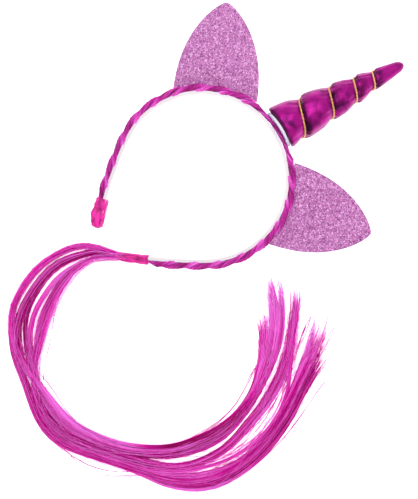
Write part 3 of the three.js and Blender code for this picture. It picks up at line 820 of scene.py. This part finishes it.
FLYAWAYS: tuple[Course, ...] = (  # loose fibres, with courses as the locks have
    ((0.4, -8.6), (0.43, -10.4), (0.45, -14), (0.48, -16), (0.5, -15.3), (0.525, -12), (0.56, -7)),
    ((0.38, -8), (0.43, -11), (0.47, -13), (0.51, -11), (0.54, -7)),
    ((0.29, 4), (0.325, 9), (0.35, 11.4), (0.375, 12), (0.4, 11.4), (0.45, 8)),
    ((0.6, 15), (0.66, 20.3), (0.7, 21), (0.75, 21.5), (0.8, 22.3), (0.83, 22.4), (0.86, 19.8), (0.9, 18)),
    ((0.62, 17), (0.7, 20.4), (0.76, 21), (0.81, 21.6), (0.85, 20.2), (0.88, 18)),
    ((0.12, 14), (0.18, 17), (0.24, 17), (0.28, 13), (0.32, 6)),
    ((0.64, -16), (0.7, -17.6), (0.76, -18.2), (0.8, -20), (0.83, -22.6), (0.85, -25.4), (0.862, -28.4)),
    ((0.62, -15), (0.7, -17.2), (0.77, -18.6), (0.81, -20.6), (0.835, -23.4)),
    ((0.66, -5), (0.75, -4), (0.8, -4), (0.85, -3), (0.9, -7), (0.93, -12), (0.95, -15.6)),
    ((0.7, 3), (0.8, 0), (0.84, -2), (0.87, -3.4), (0.9, -5.6), (0.93, -10), (0.945, -14.4)),
    ((0.8, 8), (0.88, 5), (0.93, 1.6), (0.965, -2), (0.99, -5)),
    ((0.75, -15), (0.83, -17), (0.86, -21), (0.885, -27)),
    ((0.78, -14), (0.86, -16), (0.9, -20), (0.918, -24.4)),
    ((0.68, -1), (0.74, -1.6), (0.8, -1), (0.86, -3), (0.92, -9), (0.935, -12)),
)


@dataclass
class HairTail:
    """The long tail of hair: locks of fibres along one curved line."""

    length: float = 416.0
    landed: float = 0.09  # the share where the hair has come down to the table
    tucked_in: float = -0.02  # the share where it begins, inside the wrap
    steps: int = 54
    fibres: int = 180
    fibre: float = 0.145
    clumps: int = 9
    crossing: int = 140  # fibres that leave one lock for another
    stray: tuple[float, float] = (0.09, 0.14)  # their radius
    stray_shades: tuple[float, ...] = (0.1, 0.5, 0.75, 0.95)
    fibre_tone: float = 0.46
    shortfall: float = 0.09  # share of the length by which a few fibres fall short
    fray: float = 0.09  # share of the length over which a tip fans out
    thinned: float = 0.4  # share of its radius that a fibre loses at the tip
    shadow: float = 0.2  # how much darker the hair is under the wrap's edge
    shadow_reach: float = 0.03
    loose: float = 0.19  # radius of the loose fibres, larger than life so that it shows
    loose_shade: float = 0.3
    bends: Course = (  # shares of the length, and the degrees that each turns
        (0.024, -4), (0.112, 72), (0.124, 35), (0.038, 16), (0.053, 3), (0.082, 41), (0.144, 16), (0.135, 49),
        (0.31, 77.5),
    )
    half: Course = (
        (0, 1.2), (0.03, 1.2), (0.06, 1.4), (0.1, 1.8), (0.16, 2.05), (0.24, 1.9), (0.3, 2.1), (0.4, 2.4),
        (0.5, 2.3), (0.65, 2.4), (0.85, 2.8), (0.92, 3.1), (1, 3.0),
    )
    thickness: Course = (
        (0, 7.6), (0.02, 6.4), (0.08, 4), (0.15, 2.9), (0.3, 4.6), (0.5, 4), (0.65, 2.8), (1, 2.4)
    )

    def line(self, distance: Array) -> tuple[Array, Array, Array]:
        """Returns the tail's x, y and heading at distances from the wrap."""
        pocket_out = TWIST_BACK + TWIST_DEPTH * PRESSED_BY_TAIL_WRAP + CLEARANCE
        head_out = (pocket_out - (LINE.thickness + CLEARANCE)) / 2
        start = LINE.beside(np.array([TAIL_WRAP[1] - 1, TAIL_WRAP[1]]), head_out, 0)
        travel = start[1] - start[0]
        x = np.full(distance.shape, start[1][0])
        y = np.full(distance.shape, start[1][1])
        heading = np.full(distance.shape, math.atan2(travel[1], travel[0]))
        inside = np.minimum(distance, 0)
        x, y = x + inside * np.cos(heading), y + inside * np.sin(heading)
        passed = 0.0
        for share, turn in self.bends:
            span = share * self.length
            length = np.clip(distance - passed, 1e-9, span)
            turned = math.radians(turn) * length / span
            chord = length * np.sin(turned / 2) / (turned / 2)
            x = x + chord * np.cos(heading + turned / 2)
            y = y + chord * np.sin(heading + turned / 2)
            heading = heading + turned
            passed += span
        return x, y, heading

    def spot(self, share: Array, left: Array, above: Array) -> Array:
        """Places points of the tail.

        Args:
            share: how far along the tail.
            left: millimetres to the inner side of its line.
            above: millimetres above the table, where the hair has landed.

        Returns:
            Points in metres.
        """
        x, y, heading = self.line(share * self.length)
        place_x = x - left * np.sin(heading)
        place_y = y + left * np.cos(heading)
        lying = LINE.table_below(place_y) + above
        at_root = above - 0.5 * flowing(self.thickness, share)
        down = smoothstep(share, 0, self.landed)
        height = at_root + (lying - at_root) * down
        return LINE.on_table(np.stack((place_x, place_y, height), -1))

    def lock_fibres(self, lock: Lock, rng: np.random.Generator) -> Fibres:
        """Makes one lock's fibres, in clumps that wind slowly round it and fray at the tip."""
        paths, radii, shades = [], [], []
        clumps = self.clumps
        phase = FULL_TURN * (np.arange(clumps) + rng.uniform(-0.3, 0.3, clumps)) / clumps
        drift = rng.uniform(-1.3, 1.3) + rng.uniform(-0.25, 0.25, clumps)
        hue = rng.normal(0, 0.25, clumps)
        ends = lock.reach + rng.normal(-0.008, 0.014, clumps)
        wave = rng.uniform(0, FULL_TURN, (clumps, 2))
        slant = rng.normal(0, 1.2, clumps)
        for index in range(int(self.fibres * lock.girth)):
            clump = index % clumps
            reach = ends[clump] + 0.006 + rng.normal(0, 0.009) - self.shortfall * rng.random() ** 3
            share = np.linspace(self.tucked_in, reach, self.steps)
            wide = lock.girth * flowing(self.half, share)
            high = 0.42 * flowing(self.thickness, share)
            angle = phase[clump] + drift[clump] * FULL_TURN * share
            own, own_across = rng.uniform(0, FULL_TURN), 0.4 * math.sqrt(rng.random())
            across = 0.6 * np.cos(angle) + own_across * np.cos(own + 2.2 * share)
            deep = 0.6 * np.sin(angle) + own_across * np.sin(own + 2.2 * share)
            near_tip = smoothstep(share, reach - self.fray, reach + 0.02)
            fanned = (slant[clump] + rng.normal(0, 0.9)) * near_tip**2
            left = flowing(lock.course, share) + across * wide + fanned
            above = np.maximum(high * (1 + deep) + lock.lift, self.fibre)
            paths.append(self.spot(share, left, above))
            thin = 1 - self.thinned * smoothstep(share, reach - 0.03, reach)
            radii.append(self.fibre * rng.uniform(0.75, 1.15) * thin)
            # Painted light: bands of painted highlight along each clump, the lock's sides and upper fibres
            # painted lighter, its lower fibres darker, and a painted shadow under the wrap's edge; the tips
            # are lighter.
            painted_highlight = 0.14 * np.sin(share * 19 + wave[clump, 0]) + 0.12 * np.sin(share * 43 + wave[clump, 1])
            edge = 0.22 * across**2
            # The lock's tone course adds painted light and shade to each fibre's tone.
            fibre_tone = self.fibre_tone + hue[clump] + rng.normal(0, 0.18) + 2.7 * flowing(lock.tone, share)
            under_wrap = self.shadow * np.exp(-((share / self.shadow_reach) ** 2))
            tone = fibre_tone + painted_highlight + edge + 0.14 * deep + 0.2 * smoothstep(share, 0.84, 1) - under_wrap
            shades.append(np.clip(tone, 0, 1))
        return np.array(paths), np.array(radii), np.array(shades)

    def strays(self, rng: np.random.Generator) -> Fibres:
        """Makes single fibres that leave one lock for another, and the loose ones."""
        paths, radii, shades = [], [], []
        for _ in range(self.crossing):
            first, second = rng.choice(len(TAIL_LOCKS), 2, replace=False)
            a, b = TAIL_LOCKS[first], TAIL_LOCKS[second]
            reach = max(a.reach, b.reach) - 0.06 * rng.random()
            share = np.linspace(self.tucked_in, reach, self.steps)
            middle = rng.uniform(0.25, 0.95)
            changed = smoothstep(share, middle - 0.14, middle + 0.14)
            side = rng.normal(0, 0.9)
            left = flowing(a.course, share) * (1 - changed) + flowing(b.course, share) * changed
            thickness = flowing(self.thickness, share)
            above = thickness * rng.uniform(0.5, 1.1) + 0.6
            paths.append(self.spot(share, left + side * flowing(self.half, share), above))
            radii.append(np.full(self.steps, rng.uniform(*self.stray)))
            shades.append(np.full(self.steps, rng.choice(self.stray_shades)))
        for course in FLYAWAYS:
            share = np.linspace(course[0][0], course[-1][0], self.steps)
            for twin in range(2):
                left = flowing(course, share) + rng.normal(0, 0.25) + 0.5 * twin * np.sin(share * 30)
                above = 0.3 + 1.5 * np.exp(-((share - share[0]) / 0.03) ** 2)
                paths.append(self.spot(share, left, above))
                radii.append(np.full(self.steps, self.loose))
                shades.append(np.full(self.steps, self.loose_shade))
        return np.array(paths), np.array(radii), np.array(shades)

    def build(self) -> None:
        """Makes each lock as a piece, and the strays as one more."""
        rng = np.random.default_rng(SEED)
        for lock in TAIL_LOCKS:
            piece = strung(f"tail_lock_{lock.name}", *self.lock_fibres(lock, rng))
            hand_over(piece, HAIR, "hair", "hair_tail")
        piece = strung("tail_strays", *self.strays(rng))
        hand_over(piece, HAIR, "hair", "hair_tail")


@dataclass
class SpiralHorn:
    """A stuffed cone of foil knit that a gold cord draws in."""

    lean: float = math.radians(4.3)
    fullness: float = 1.37
    groove_depth: float = 2.5
    cord: float = 1.3
    first_turn: float = 0.23
    last_turn: float = 4.3
    rows: int = 220
    around: int = 96
    felt_thickness: float = 1.5
    gather: float = 0.28  # how far the small creases by the cord stand out
    puff: float = 1.03  # of the fabric over the plain cone
    dent: float = 0.55  # how far the stuffing's unevenness shows
    hem_lift: float = 0.6  # of the hem over the felt
    crowding: float = 1.35  # power that crowds the rows at the tip
    cord_steps: int = 1100
    cord_lay: float = 26.0  # turns of a ply, for each turn of the cord
    ply_shades: tuple[float, ...] = (0.35, 0.5, 0.15)
    felt_shows: float = 0.88  # of the horn's base

    @property
    def seat(self) -> float:
        """Distance of the horn's base from the hoop's centre."""
        under = TWIST_BACK + TWIST_DEPTH * PRESSED_BY_HORN
        return LINE.radius + float(LINE.bow_at(0)) + under + 2 * CLEARANCE + self.felt_thickness

    def cone(self, s: Array) -> Array:
        """Returns the radius of the stuffing, before the tip is rounded."""
        share = np.maximum(s, 0) / HORN_LENGTH
        return HORN_BASE_RADIUS + (HORN_TIP_RADIUS - HORN_BASE_RADIUS) * share**self.fullness

    def radius(self, s: Array) -> Array:
        """Returns the radius of the rounded cone."""
        rounded = np.maximum(0, (s - HORN_LENGTH) / (1.6 * HORN_TIP_RADIUS) + 1)
        return self.cone(s) * np.sqrt(np.maximum(0, 1 - rounded**2))

    def station(self, turns: Array) -> Array:
        """Returns how far along the horn the cord is after some turns."""
        return HORN_LENGTH * (-0.044 + 0.2898 * turns - 0.0211 * turns**2)

    def depth(self, s: Array) -> Array:
        """Returns the groove's depth."""
        return self.groove_depth * np.sqrt(np.maximum(self.radius(s), 0.01) / HORN_BASE_RADIUS)

    def groove(self, s: Array, turn: Array, to_tip: float, to_base: float) -> Array:
        """Returns 0 on a crest and 1 in the groove.

        Args:
            s: how far along the horn.
            turn: how far round it.
            to_tip: the groove's reach towards the tip.
            to_base: its reach towards the base.

        Returns:
            How deep in the groove each point lies.
        """
        deepest = np.zeros(np.shape(s))
        for whole in range(5):
            turns = turn + whole
            away = s - self.station(turns)
            width = np.where(away > 0, to_tip, to_base)
            wound = (turns >= self.first_turn) & (turns < self.last_turn)
            deepest = np.maximum(deepest, np.where(wound, np.exp(-((away / width) ** 2)), 0))
        return deepest

    def spot(self, s: Array, across: Array, up: Array) -> Array:
        """Places points by their offsets from the horn's axis, in metres."""
        droop = HORN_BASE_RADIUS - self.cone(s) + s * math.tan(LINE.tilt)
        spots = LINE.on_table(np.stack((across + s * math.tan(self.lean), self.seat + s, up - droop), -1))
        spots[..., 2] = np.maximum(spots[..., 2], 0.05 * MM)
        return spots

    def rows_of(self, share: Array, across: Array) -> tuple[Array, Array]:
        """Returns where the hem lies on the felt, and how far along the horn each row is."""
        seated = np.sqrt(self.seat**2 - (HORN_BASE_RADIUS * across) ** 2) - self.seat
        foot = seated + self.hem_lift
        return foot, foot + (HORN_LENGTH - foot) * (1 - (1 - share) ** self.crowding)

    def skin(self, share: Array, turn: Array) -> Array:
        """Places the fabric: puffed between the turns and gathered at the cord."""
        angle = FULL_TURN * turn
        across = -np.cos(angle)
        foot, s = self.rows_of(share, across)
        radius = self.radius(s) * self.puff - self.depth(s) * self.groove(s, turn, 1.9, 5.4)
        near = self.groove(s, turn, 5.5, 7.5) - self.groove(s, turn, 0.9, 0.9)
        folds = np.sin(angle * 9 + 1.3 * np.sin(s * 0.21)) + 0.6 * np.sin(angle * 17 + s * 0.31 + 1)
        size = self.radius(s) / HORN_BASE_RADIUS
        radius = radius + self.gather * near * folds * np.sqrt(size)
        dents = [noise.noise(Vector((a * 1.4, b * 1.4, c / 11))) for a, b, c in zip(across, np.sin(angle), s)]
        radius = radius + self.dent * np.array(dents) * size
        hem = 1 - 0.05 * np.exp(-((s - foot) / 0.7) ** 2)
        radius = np.maximum(radius * hem, 0)
        return self.spot(s, across * radius, -np.sin(angle) * radius)

    def crease(self, share: Array, turn: Array) -> Array:
        """Returns the painted shade on the fabric: in the groove by the cord and at the hem."""
        angle = FULL_TURN * turn
        foot, s = self.rows_of(share, np.cos(angle))
        tip_side = self.groove(s, turn, 5.5, 1.5)
        broken = [noise.noise(Vector((math.cos(a) * 2, math.sin(a) * 2, c / 6))) for a, c in zip(angle, s)]
        hem = np.exp(-((s - foot) / 1.3) ** 2)
        return np.clip(0.85 * tip_side * (0.75 + 1.1 * np.array(broken)) + 0.8 * hem, 0, 1)

    def cord_frame(self, turns: Array) -> tuple[Array, Array, Array]:
        """Returns the cord's middle and its outward and sideways directions, off the axis."""

        def middle(at: Array) -> Array:
            s = self.station(at)
            r = self.radius(s) - self.depth(s) + self.cord * 0.4
            return np.stack((-r * np.cos(FULL_TURN * at), s, -r * np.sin(FULL_TURN * at)), -1)

        centre = middle(turns)
        forward = middle(turns + 1e-3) - centre
        outward = centre * (1, 0, 1)
        outward /= np.linalg.norm(outward, axis=-1, keepdims=True)
        sideways = np.cross(outward, forward)
        sideways /= np.linalg.norm(sideways, axis=-1, keepdims=True)
        return centre, outward, sideways

    def build(self) -> None:
        """Makes the horn's fabric, the cord's three plies and the felt disc."""
        # The crease attribute carries painted shade in the groove and at the hem.
        horn = rolled("horn_fabric", self.rows, self.around, self.skin, crease=self.crease)
        hand_over(horn, LAME, "horn_fabric", "horn")
        self.build_cord()
        self.build_felt()

    def build_cord(self) -> None:
        """Lays three thin plies round the cord's middle line."""
        steps, plies = self.cord_steps, len(self.ply_shades)
        turns = np.linspace(self.first_turn, self.last_turn, steps)
        centre, outward, sideways = self.cord_frame(turns)
        paths = []
        for ply in range(plies):
            angle = FULL_TURN * (turns * self.cord_lay + ply / plies)
            off = self.cord * 0.25
            place = centre + off * (outward * np.cos(angle)[:, None] + sideways * np.sin(angle)[:, None])
            paths.append(self.spot(place[:, 1], place[:, 0], place[:, 2]))
        shades = np.repeat(np.array(self.ply_shades)[:, None], steps, 1)
        radii = np.full((plies, steps), self.cord * 0.27)
        piece = strung("cord_plies", np.array(paths), radii, shades, sides=6)
        hand_over(piece, GOLD, "gold_cord", "gold_cord")

    def build_felt(self) -> None:
        """Bends a thick round of felt to the hoop, with a soft edge."""
        back = TWIST_BACK + TWIST_DEPTH * PRESSED_BY_HORN + CLEARANCE
        profile = ((0, 0), (0.5, 0), (0.8, 0), (0.97, 0), (1, 0.25), (1, 0.75), (0.97, 1), (0.6, 1), (0, 1))

        def place(share: Array, turn: Array) -> Array:
            at = share * (len(profile) - 1)
            ring = np.interp(at, range(len(profile)), [p[0] for p in profile])
            thick = np.interp(at, range(len(profile)), [p[1] for p in profile])
            ragged = self.felt_shows + 0.008 * np.sin(turn * FULL_TURN * 31) * ring
            across = np.cos(FULL_TURN * turn) * ring * ragged * HORN_BASE_RADIUS
            along = across * LINE.radius / (LINE.radius + back)
            up = np.sin(FULL_TURN * turn) * ring * ragged * HORN_BASE_RADIUS
            return LINE.on_table(LINE.beside(along, back + thick * self.felt_thickness, up))

        disc = rolled("felt_disc", 48, 96, place)
        hand_over(disc, FELT, "felt", "horn_base_felt")


@dataclass
class WoundTape:
    """Satin ribbon wound and crumpled round one end of the hoop.

    A row of its folds gives, at a share of the wrap from the horn's side, how far
    it stands out, in walls, on the hoop's outer, inner and wide sides.
    """

    name: str
    node: str
    span: tuple[float, float]
    press: float  # how far it presses the twist, of the twist's depth
    folds: tuple[tuple[float, float, float, float], ...]
    crease: float  # millimetres that a crease runs along the hoop
    relief: float  # millimetres, from the deepest crease to the highest
    ribbon: float = 6.5  # millimetres from one lap's edge to the next
    lap_step: float = 0.2  # how far a lap's edge stands up
    calm: float = 0.36  # the crumple's mean
    square: float = 0.55  # power that squares the section
    rows: int = 110
    around: int = 72

    def parts(self, share: Array, turn: Array) -> tuple[Array, Array, Array, Array]:
        """Works out the ribbon's section.

        Args:
            share: how far along the wrap.
            turn: how far round it.

        Returns:
            Distance along the hoop, out, up, and the painted shade in its creases and between its laps.
        """
        plain = self.span[0] < 0
        along = self.span[0] + (self.span[1] - self.span[0]) * share
        from_horn = 1 - share if plain else share
        outer_wall, inner_wall, wide_wall = (
            eased([(fold[0], fold[column]) for fold in self.folds], from_horn) for column in (1, 2, 3)
        )
        outer = TWIST_BACK + TWIST_DEPTH * self.press + CLEARANCE + WRAP_WALL * outer_wall
        inner = -(LINE.thickness + CLEARANCE) - WRAP_WALL * inner_wall
        half = LINE.width / 2 + CLEARANCE + WRAP_WALL * wide_wall
        angle = FULL_TURN * turn
        squared = [np.sign(v) * np.abs(v) ** self.square for v in (np.cos(angle), np.sin(angle))]
        lap = (along / self.ribbon + turn) % 1
        edge = smoothstep(lap, 0, 0.1) * (1 - lap) - 0.45
        crumple = np.array(
            [
                abs(noise.noise(Vector((a / self.crease, 2.4 * math.cos(b), 2.4 * math.sin(b)))))
                + 0.4 * abs(noise.noise(Vector((2 * a / self.crease + 9, 5 * math.cos(b), 5 * math.sin(b)))))
                for a, b in zip(along, angle)
            ]
        )
        stand = self.lap_step * edge + self.relief * (crumple - self.calm)
        ends = np.minimum(share, 1 - share) if plain else np.minimum(share + 0.06, 1 - share + 0.06)
        round_off = np.sqrt(np.clip(ends / 0.07, 0.12, 1))
        middle = (outer + inner) / 2
        out = middle + squared[0] * ((outer - inner) / 2 + stand) * round_off
        up = squared[1] * (half + stand) * round_off
        # The last value is painted shade: darker where the crumple sinks and where a lap sinks.
        return along, out, up, np.clip(1.0 - 2.6 * crumple - 0.4 * edge, 0, 1)

    def place(self, share: Array, turn: Array) -> Array:
        """Places points of the ribbon; what would sink under the table lies on it."""
        spots = LINE.on_table(LINE.beside(*self.parts(share, turn)[:3]))
        spots[..., 2] = np.maximum(spots[..., 2], 0.1 * MM)
        return spots

    def build(self) -> None:
        """Makes the wrap as one closed, crumpled shape."""
        piece = rolled(
            self.name,
            self.rows,
            self.around,
            self.place,
            # The fold attribute carries the painted shade of the creases and laps.
            fold=lambda share, turn: self.parts(share, turn)[3],
        )
        hand_over(piece, RIBBON, "end_wrap", self.node)


TAPES = (
    WoundTape(
        name="plain_end_ribbon",
        node="plain_end_wrap",
        span=PLAIN_WRAP,
        press=PRESSED_BY_PLAIN_WRAP,
        folds=(
            (0, -0.2, -0.2, 0.2), (0.15, 0.5, 0.5, 0.8), (0.32, 1.5, 0.8, 1.0), (0.45, 1.6, 0.7, 1.0),
            (0.58, 2.5, 0.8, 1.1), (0.74, 1.6, 0.4, 1.0), (0.88, 0.9, 0.2, 0.8), (1, 0.1, 0.0, 0.6),
        ),
        crease=9.0,
        relief=1.5,
    ),
    WoundTape(
        name="tail_ribbon",
        node="tail_wrap",
        span=TAIL_WRAP,
        press=PRESSED_BY_TAIL_WRAP,
        folds=(
            (0, 1.3, 0.9, 0.8), (0.2, 1.2, 0.6, 0.9), (0.42, 0.7, 0.8, 0.8), (0.66, 0.8, 0.4, 0.9),
            (0.86, 0.3, 0.3, 0.8), (1, 0.1, 0.1, 0.8),
        ),
        crease=16.0,
        relief=0.8,
    ),
)


@dataclass
class GlitterEar:
    """A flat pointed ear cut from glitter sheet and glued behind the hoop."""

    node: str
    angle: float
    width: float = 57.0
    length: float = 63.0
    thickness: float = 2.0
    edge: float = 0.35  # radius that its rims are worn to
    side_points: int = 40
    base_points: int = 30
    flakes: int = 3000
    flake: tuple[float, float] = (0.2, 0.33)  # their radius
    flake_depth: float = 0.14
    painted_light_tones: tuple[float, ...] = (0.06, 0.5, 0.97)  # painted light on the flakes: a dark tone of painted shade, a middle tone, and a pale tone of painted glint
    painted_light_shares: tuple[float, ...] = (0.42, 0.18, 0.4)
    margin: float = 0.8  # round the flakes
    swell: float = 2.3  # powers that round the ear's sides
    taper: float = 0.75

    def outline(self) -> Array:
        """Returns the ear's outline in the hoop's own plane, in millimetres."""
        half = self.width / 2
        corner = LINE.radius + TWIST_BACK + TWIST_DEPTH
        corner_y = math.sqrt(corner**2 - half**2)
        corner_angle = math.asin(half / corner)
        step = np.arange(2 * self.side_points + 1) - self.side_points
        rise = np.sin(math.pi / 2 * (1 - np.abs(step) / self.side_points))
        across = -np.sign(step) * half * (1 - rise**self.swell) ** self.taper
        cos, sin = math.cos(-self.angle), math.sin(-self.angle)
        y = corner_y + self.length * rise
        sides = np.stack((across * cos - y * sin, across * sin + y * cos), -1)
        share = np.linspace(-1, 1, self.base_points + 1)[1:-1]
        out = CLEARANCE + (TWIST_DEPTH + TWIST_BACK - CLEARANCE) * share**4
        base = LINE.beside(LINE.radius * (self.angle + share * corner_angle), out, 0)[:, :2]
        return np.concatenate((sides, base))

    def build(self) -> None:
        """Makes the sheet with rounded edges, and its raised flakes."""
        rng = np.random.default_rng(SEED + int(self.angle * 10) + 20)
        outline = self.outline()
        back = TWIST_OFFSET - TWIST_RISE / 2 - CLEARANCE - self.thickness
        bm = bmesh.new()
        bmesh.ops.create_circle(bm, cap_ends=True, segments=len(outline), radius=1)
        corners = sorted(bm.verts, key=lambda v: v.index)
        for corner, (x, y) in zip(corners, outline):
            corner.co = (x, y, back)
        raised = bmesh.ops.extrude_face_region(bm, geom=list(bm.faces))["geom"]
        moved = [g for g in raised if isinstance(g, bmesh.types.BMVert)]
        bmesh.ops.translate(bm, verts=moved, vec=(0, 0, self.thickness))
        bmesh.ops.recalc_face_normals(bm, faces=bm.faces)
        level = [e for e in bm.edges if abs(e.verts[0].co.z - e.verts[1].co.z) < 0.1]
        bmesh.ops.bevel(
            bm,
            geom=[e for e in level if e.calc_face_angle(0) > 1],
            offset=self.edge,
            affect="EDGES",
            segments=3,
            profile=0.5,
            material=-1,
            clamp_overlap=True,
        )
        for corner in bm.verts:
            corner.co = LINE.on_table(np.array(corner.co))
        sheet = to_object(f"{self.node}_sheet", bm)
        for face in sheet.data.polygons:
            face.use_smooth = len(face.vertices) < 5
        hand_over(sheet, SHEET, "ear_glitter", self.node)
        hand_over(self.glitter(outline, back, rng), FLAKE, "ear_glitter", self.node)

    def glitter(self, outline: Array, back: float, rng: np.random.Generator) -> bpy.types.Object:
        """Scatters small tilted flakes over the ear's face.

        Args:
            outline: the ear's outline.
            back: height of the ear's back.
            rng: the seeded draws.

        Returns:
            The flakes as one mesh.
        """
        low, high = outline.min(0) + self.margin, outline.max(0) - self.margin
        spots: list[Array] = []
        while len(spots) < self.flakes:
            spot = rng.uniform(low, high)
            if self.inside(outline, spot):
                spots.append(spot)
        bm = bmesh.new()
        layer = bm.verts.layers.float.new("shade")
        for spot in spots:
            size = rng.uniform(*self.flake)
            tilt = Matrix.Rotation(rng.normal(0, 0.3), 4, "X") @ Matrix.Rotation(rng.normal(0, 0.3), 4, "Y")
            centre = LINE.on_table(np.array((*spot, back + self.thickness + 0.05))) / MM
            turn = Matrix.Rotation(rng.uniform(0, FULL_TURN), 4, "Z")
            made = bmesh.ops.create_cone(
                bm,
                cap_ends=True,
                segments=6,
                radius1=size,
                radius2=size * 0.8,
                depth=self.flake_depth,
                matrix=Matrix.Scale(MM, 4) @ Matrix.Translation(centre) @ tilt @ turn,
            )
            # Each flake's tone is painted light, drawn from the dark, middle and pale tones.
            painted_light = rng.choice(self.painted_light_tones, p=self.painted_light_shares)
            shade = float(np.clip(painted_light + rng.normal(0, 0.08), 0, 1))
            for corner in made["verts"]:
                corner[layer] = shade
        flakes = to_object(f"{self.node}_flakes", bm)
        flakes.data.polygons.foreach_set("use_smooth", [False] * len(flakes.data.polygons))
        return flakes

    @staticmethod
    def inside(outline: Array, spot: Array) -> bool:
        """Returns whether a spot is inside the outline, by the crossings to its right."""
        a, b = outline, np.roll(outline, -1, 0)
        spans = (a[:, 1] > spot[1]) != (b[:, 1] > spot[1])
        rise = np.where(spans, b[:, 1] - a[:, 1], 1.0)
        crossing = a[:, 0] + (spot[1] - a[:, 1]) * (b[:, 0] - a[:, 0]) / rise
        return bool(np.count_nonzero(spans & (spot[0] < crossing)) % 2)


# The table, the light and the camera


@dataclass
class Studio:
    """A white table under soft light, and the camera that looks straight down."""

    camera_spot: tuple[float, float, float] = (-4.398, -8.679, 700.0)
    right: tuple[float, float, float] = (0.5358, 0.8443, 0.0)
    above: tuple[float, float, float] = (-0.8443, 0.5358, 0.0)
    lens: float = 74.27
    room_light: float = 0.6
    table_half: float = 3.0  # metres from its middle to a side
    lamps: tuple[tuple[str, float, float, tuple[float, float, float]], ...] = (
        ("overhead_softbox", 10.0, 0.9, (-0.25, 0.35, 1.1)),
        ("side_softbox", 3.0, 0.6, (0.8, -0.5, 0.7)),
    )  # watts, metres across, and where it hangs

    def camera(self) -> None:
        """Puts the camera over the middle of the photograph."""
        data = bpy.data.cameras.new("table_camera")
        data.lens = self.lens
        data.sensor_width = 36.0
        camera = put_in_scene("table_camera", data)
        turn = Matrix((self.right, self.above, (0, 0, 1))).transposed().to_4x4()
        camera.matrix_world = Matrix.Translation(Vector(self.camera_spot) * MM) @ turn
        bpy.context.scene.camera = camera

    def table(self) -> None:
        """Lays the white table."""
        bm = bmesh.new()
        bmesh.ops.create_grid(bm, x_segments=2, y_segments=2, size=self.table_half)
        table = to_object("table", bm)
        table.data.materials.append(PAPER.material())

    def light(self) -> None:
        """Hangs the lamps and sets the room's own light."""
        for name, power, size, spot in self.lamps:
            data = bpy.data.lights.new(name, "AREA")
            data.energy = power
            data.size = size
            lamp = put_in_scene(name, data)
            aim = Vector(spot).to_track_quat("Z", "Y").to_matrix().to_4x4()
            lamp.matrix_world = Matrix.Translation(spot) @ aim
        world = bpy.data.worlds.new("studio_room")
        bpy.context.scene.world = world
        world.use_nodes = True
        world.node_tree.nodes.clear()
        nodes = Nodes(world.node_tree)
        sky = nodes.add("Background", {0: linear("#FFFFFF"), 1: self.room_light})
        nodes.add("OutputWorld", {0: sky.outputs[0]})
        bpy.context.scene.view_settings.view_transform = "Standard"

    def build(self) -> None:
        """Sets up the camera, the table and the light."""
        self.camera()
        self.table()
        self.light()


def main() -> None:
    """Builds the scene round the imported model."""
    logging.basicConfig(level=logging.INFO, format="%(name)s: %(message)s")
    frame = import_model()
    Studio().build()
    hoop = frame["nodes"]["hoop"]
    hoop.data.materials.clear()
    hoop.data.materials.append(PLASTIC.material())
    HairTwist().build()
    HairTail().build()
    SpiralHorn().build()
    for tape in TAPES:
        tape.build()
    GlitterEar("ear_left", math.radians(-50.2)).build()
    GlitterEar("ear_right", math.radians(51.2)).build()


if __name__ == "__main__":
    main()
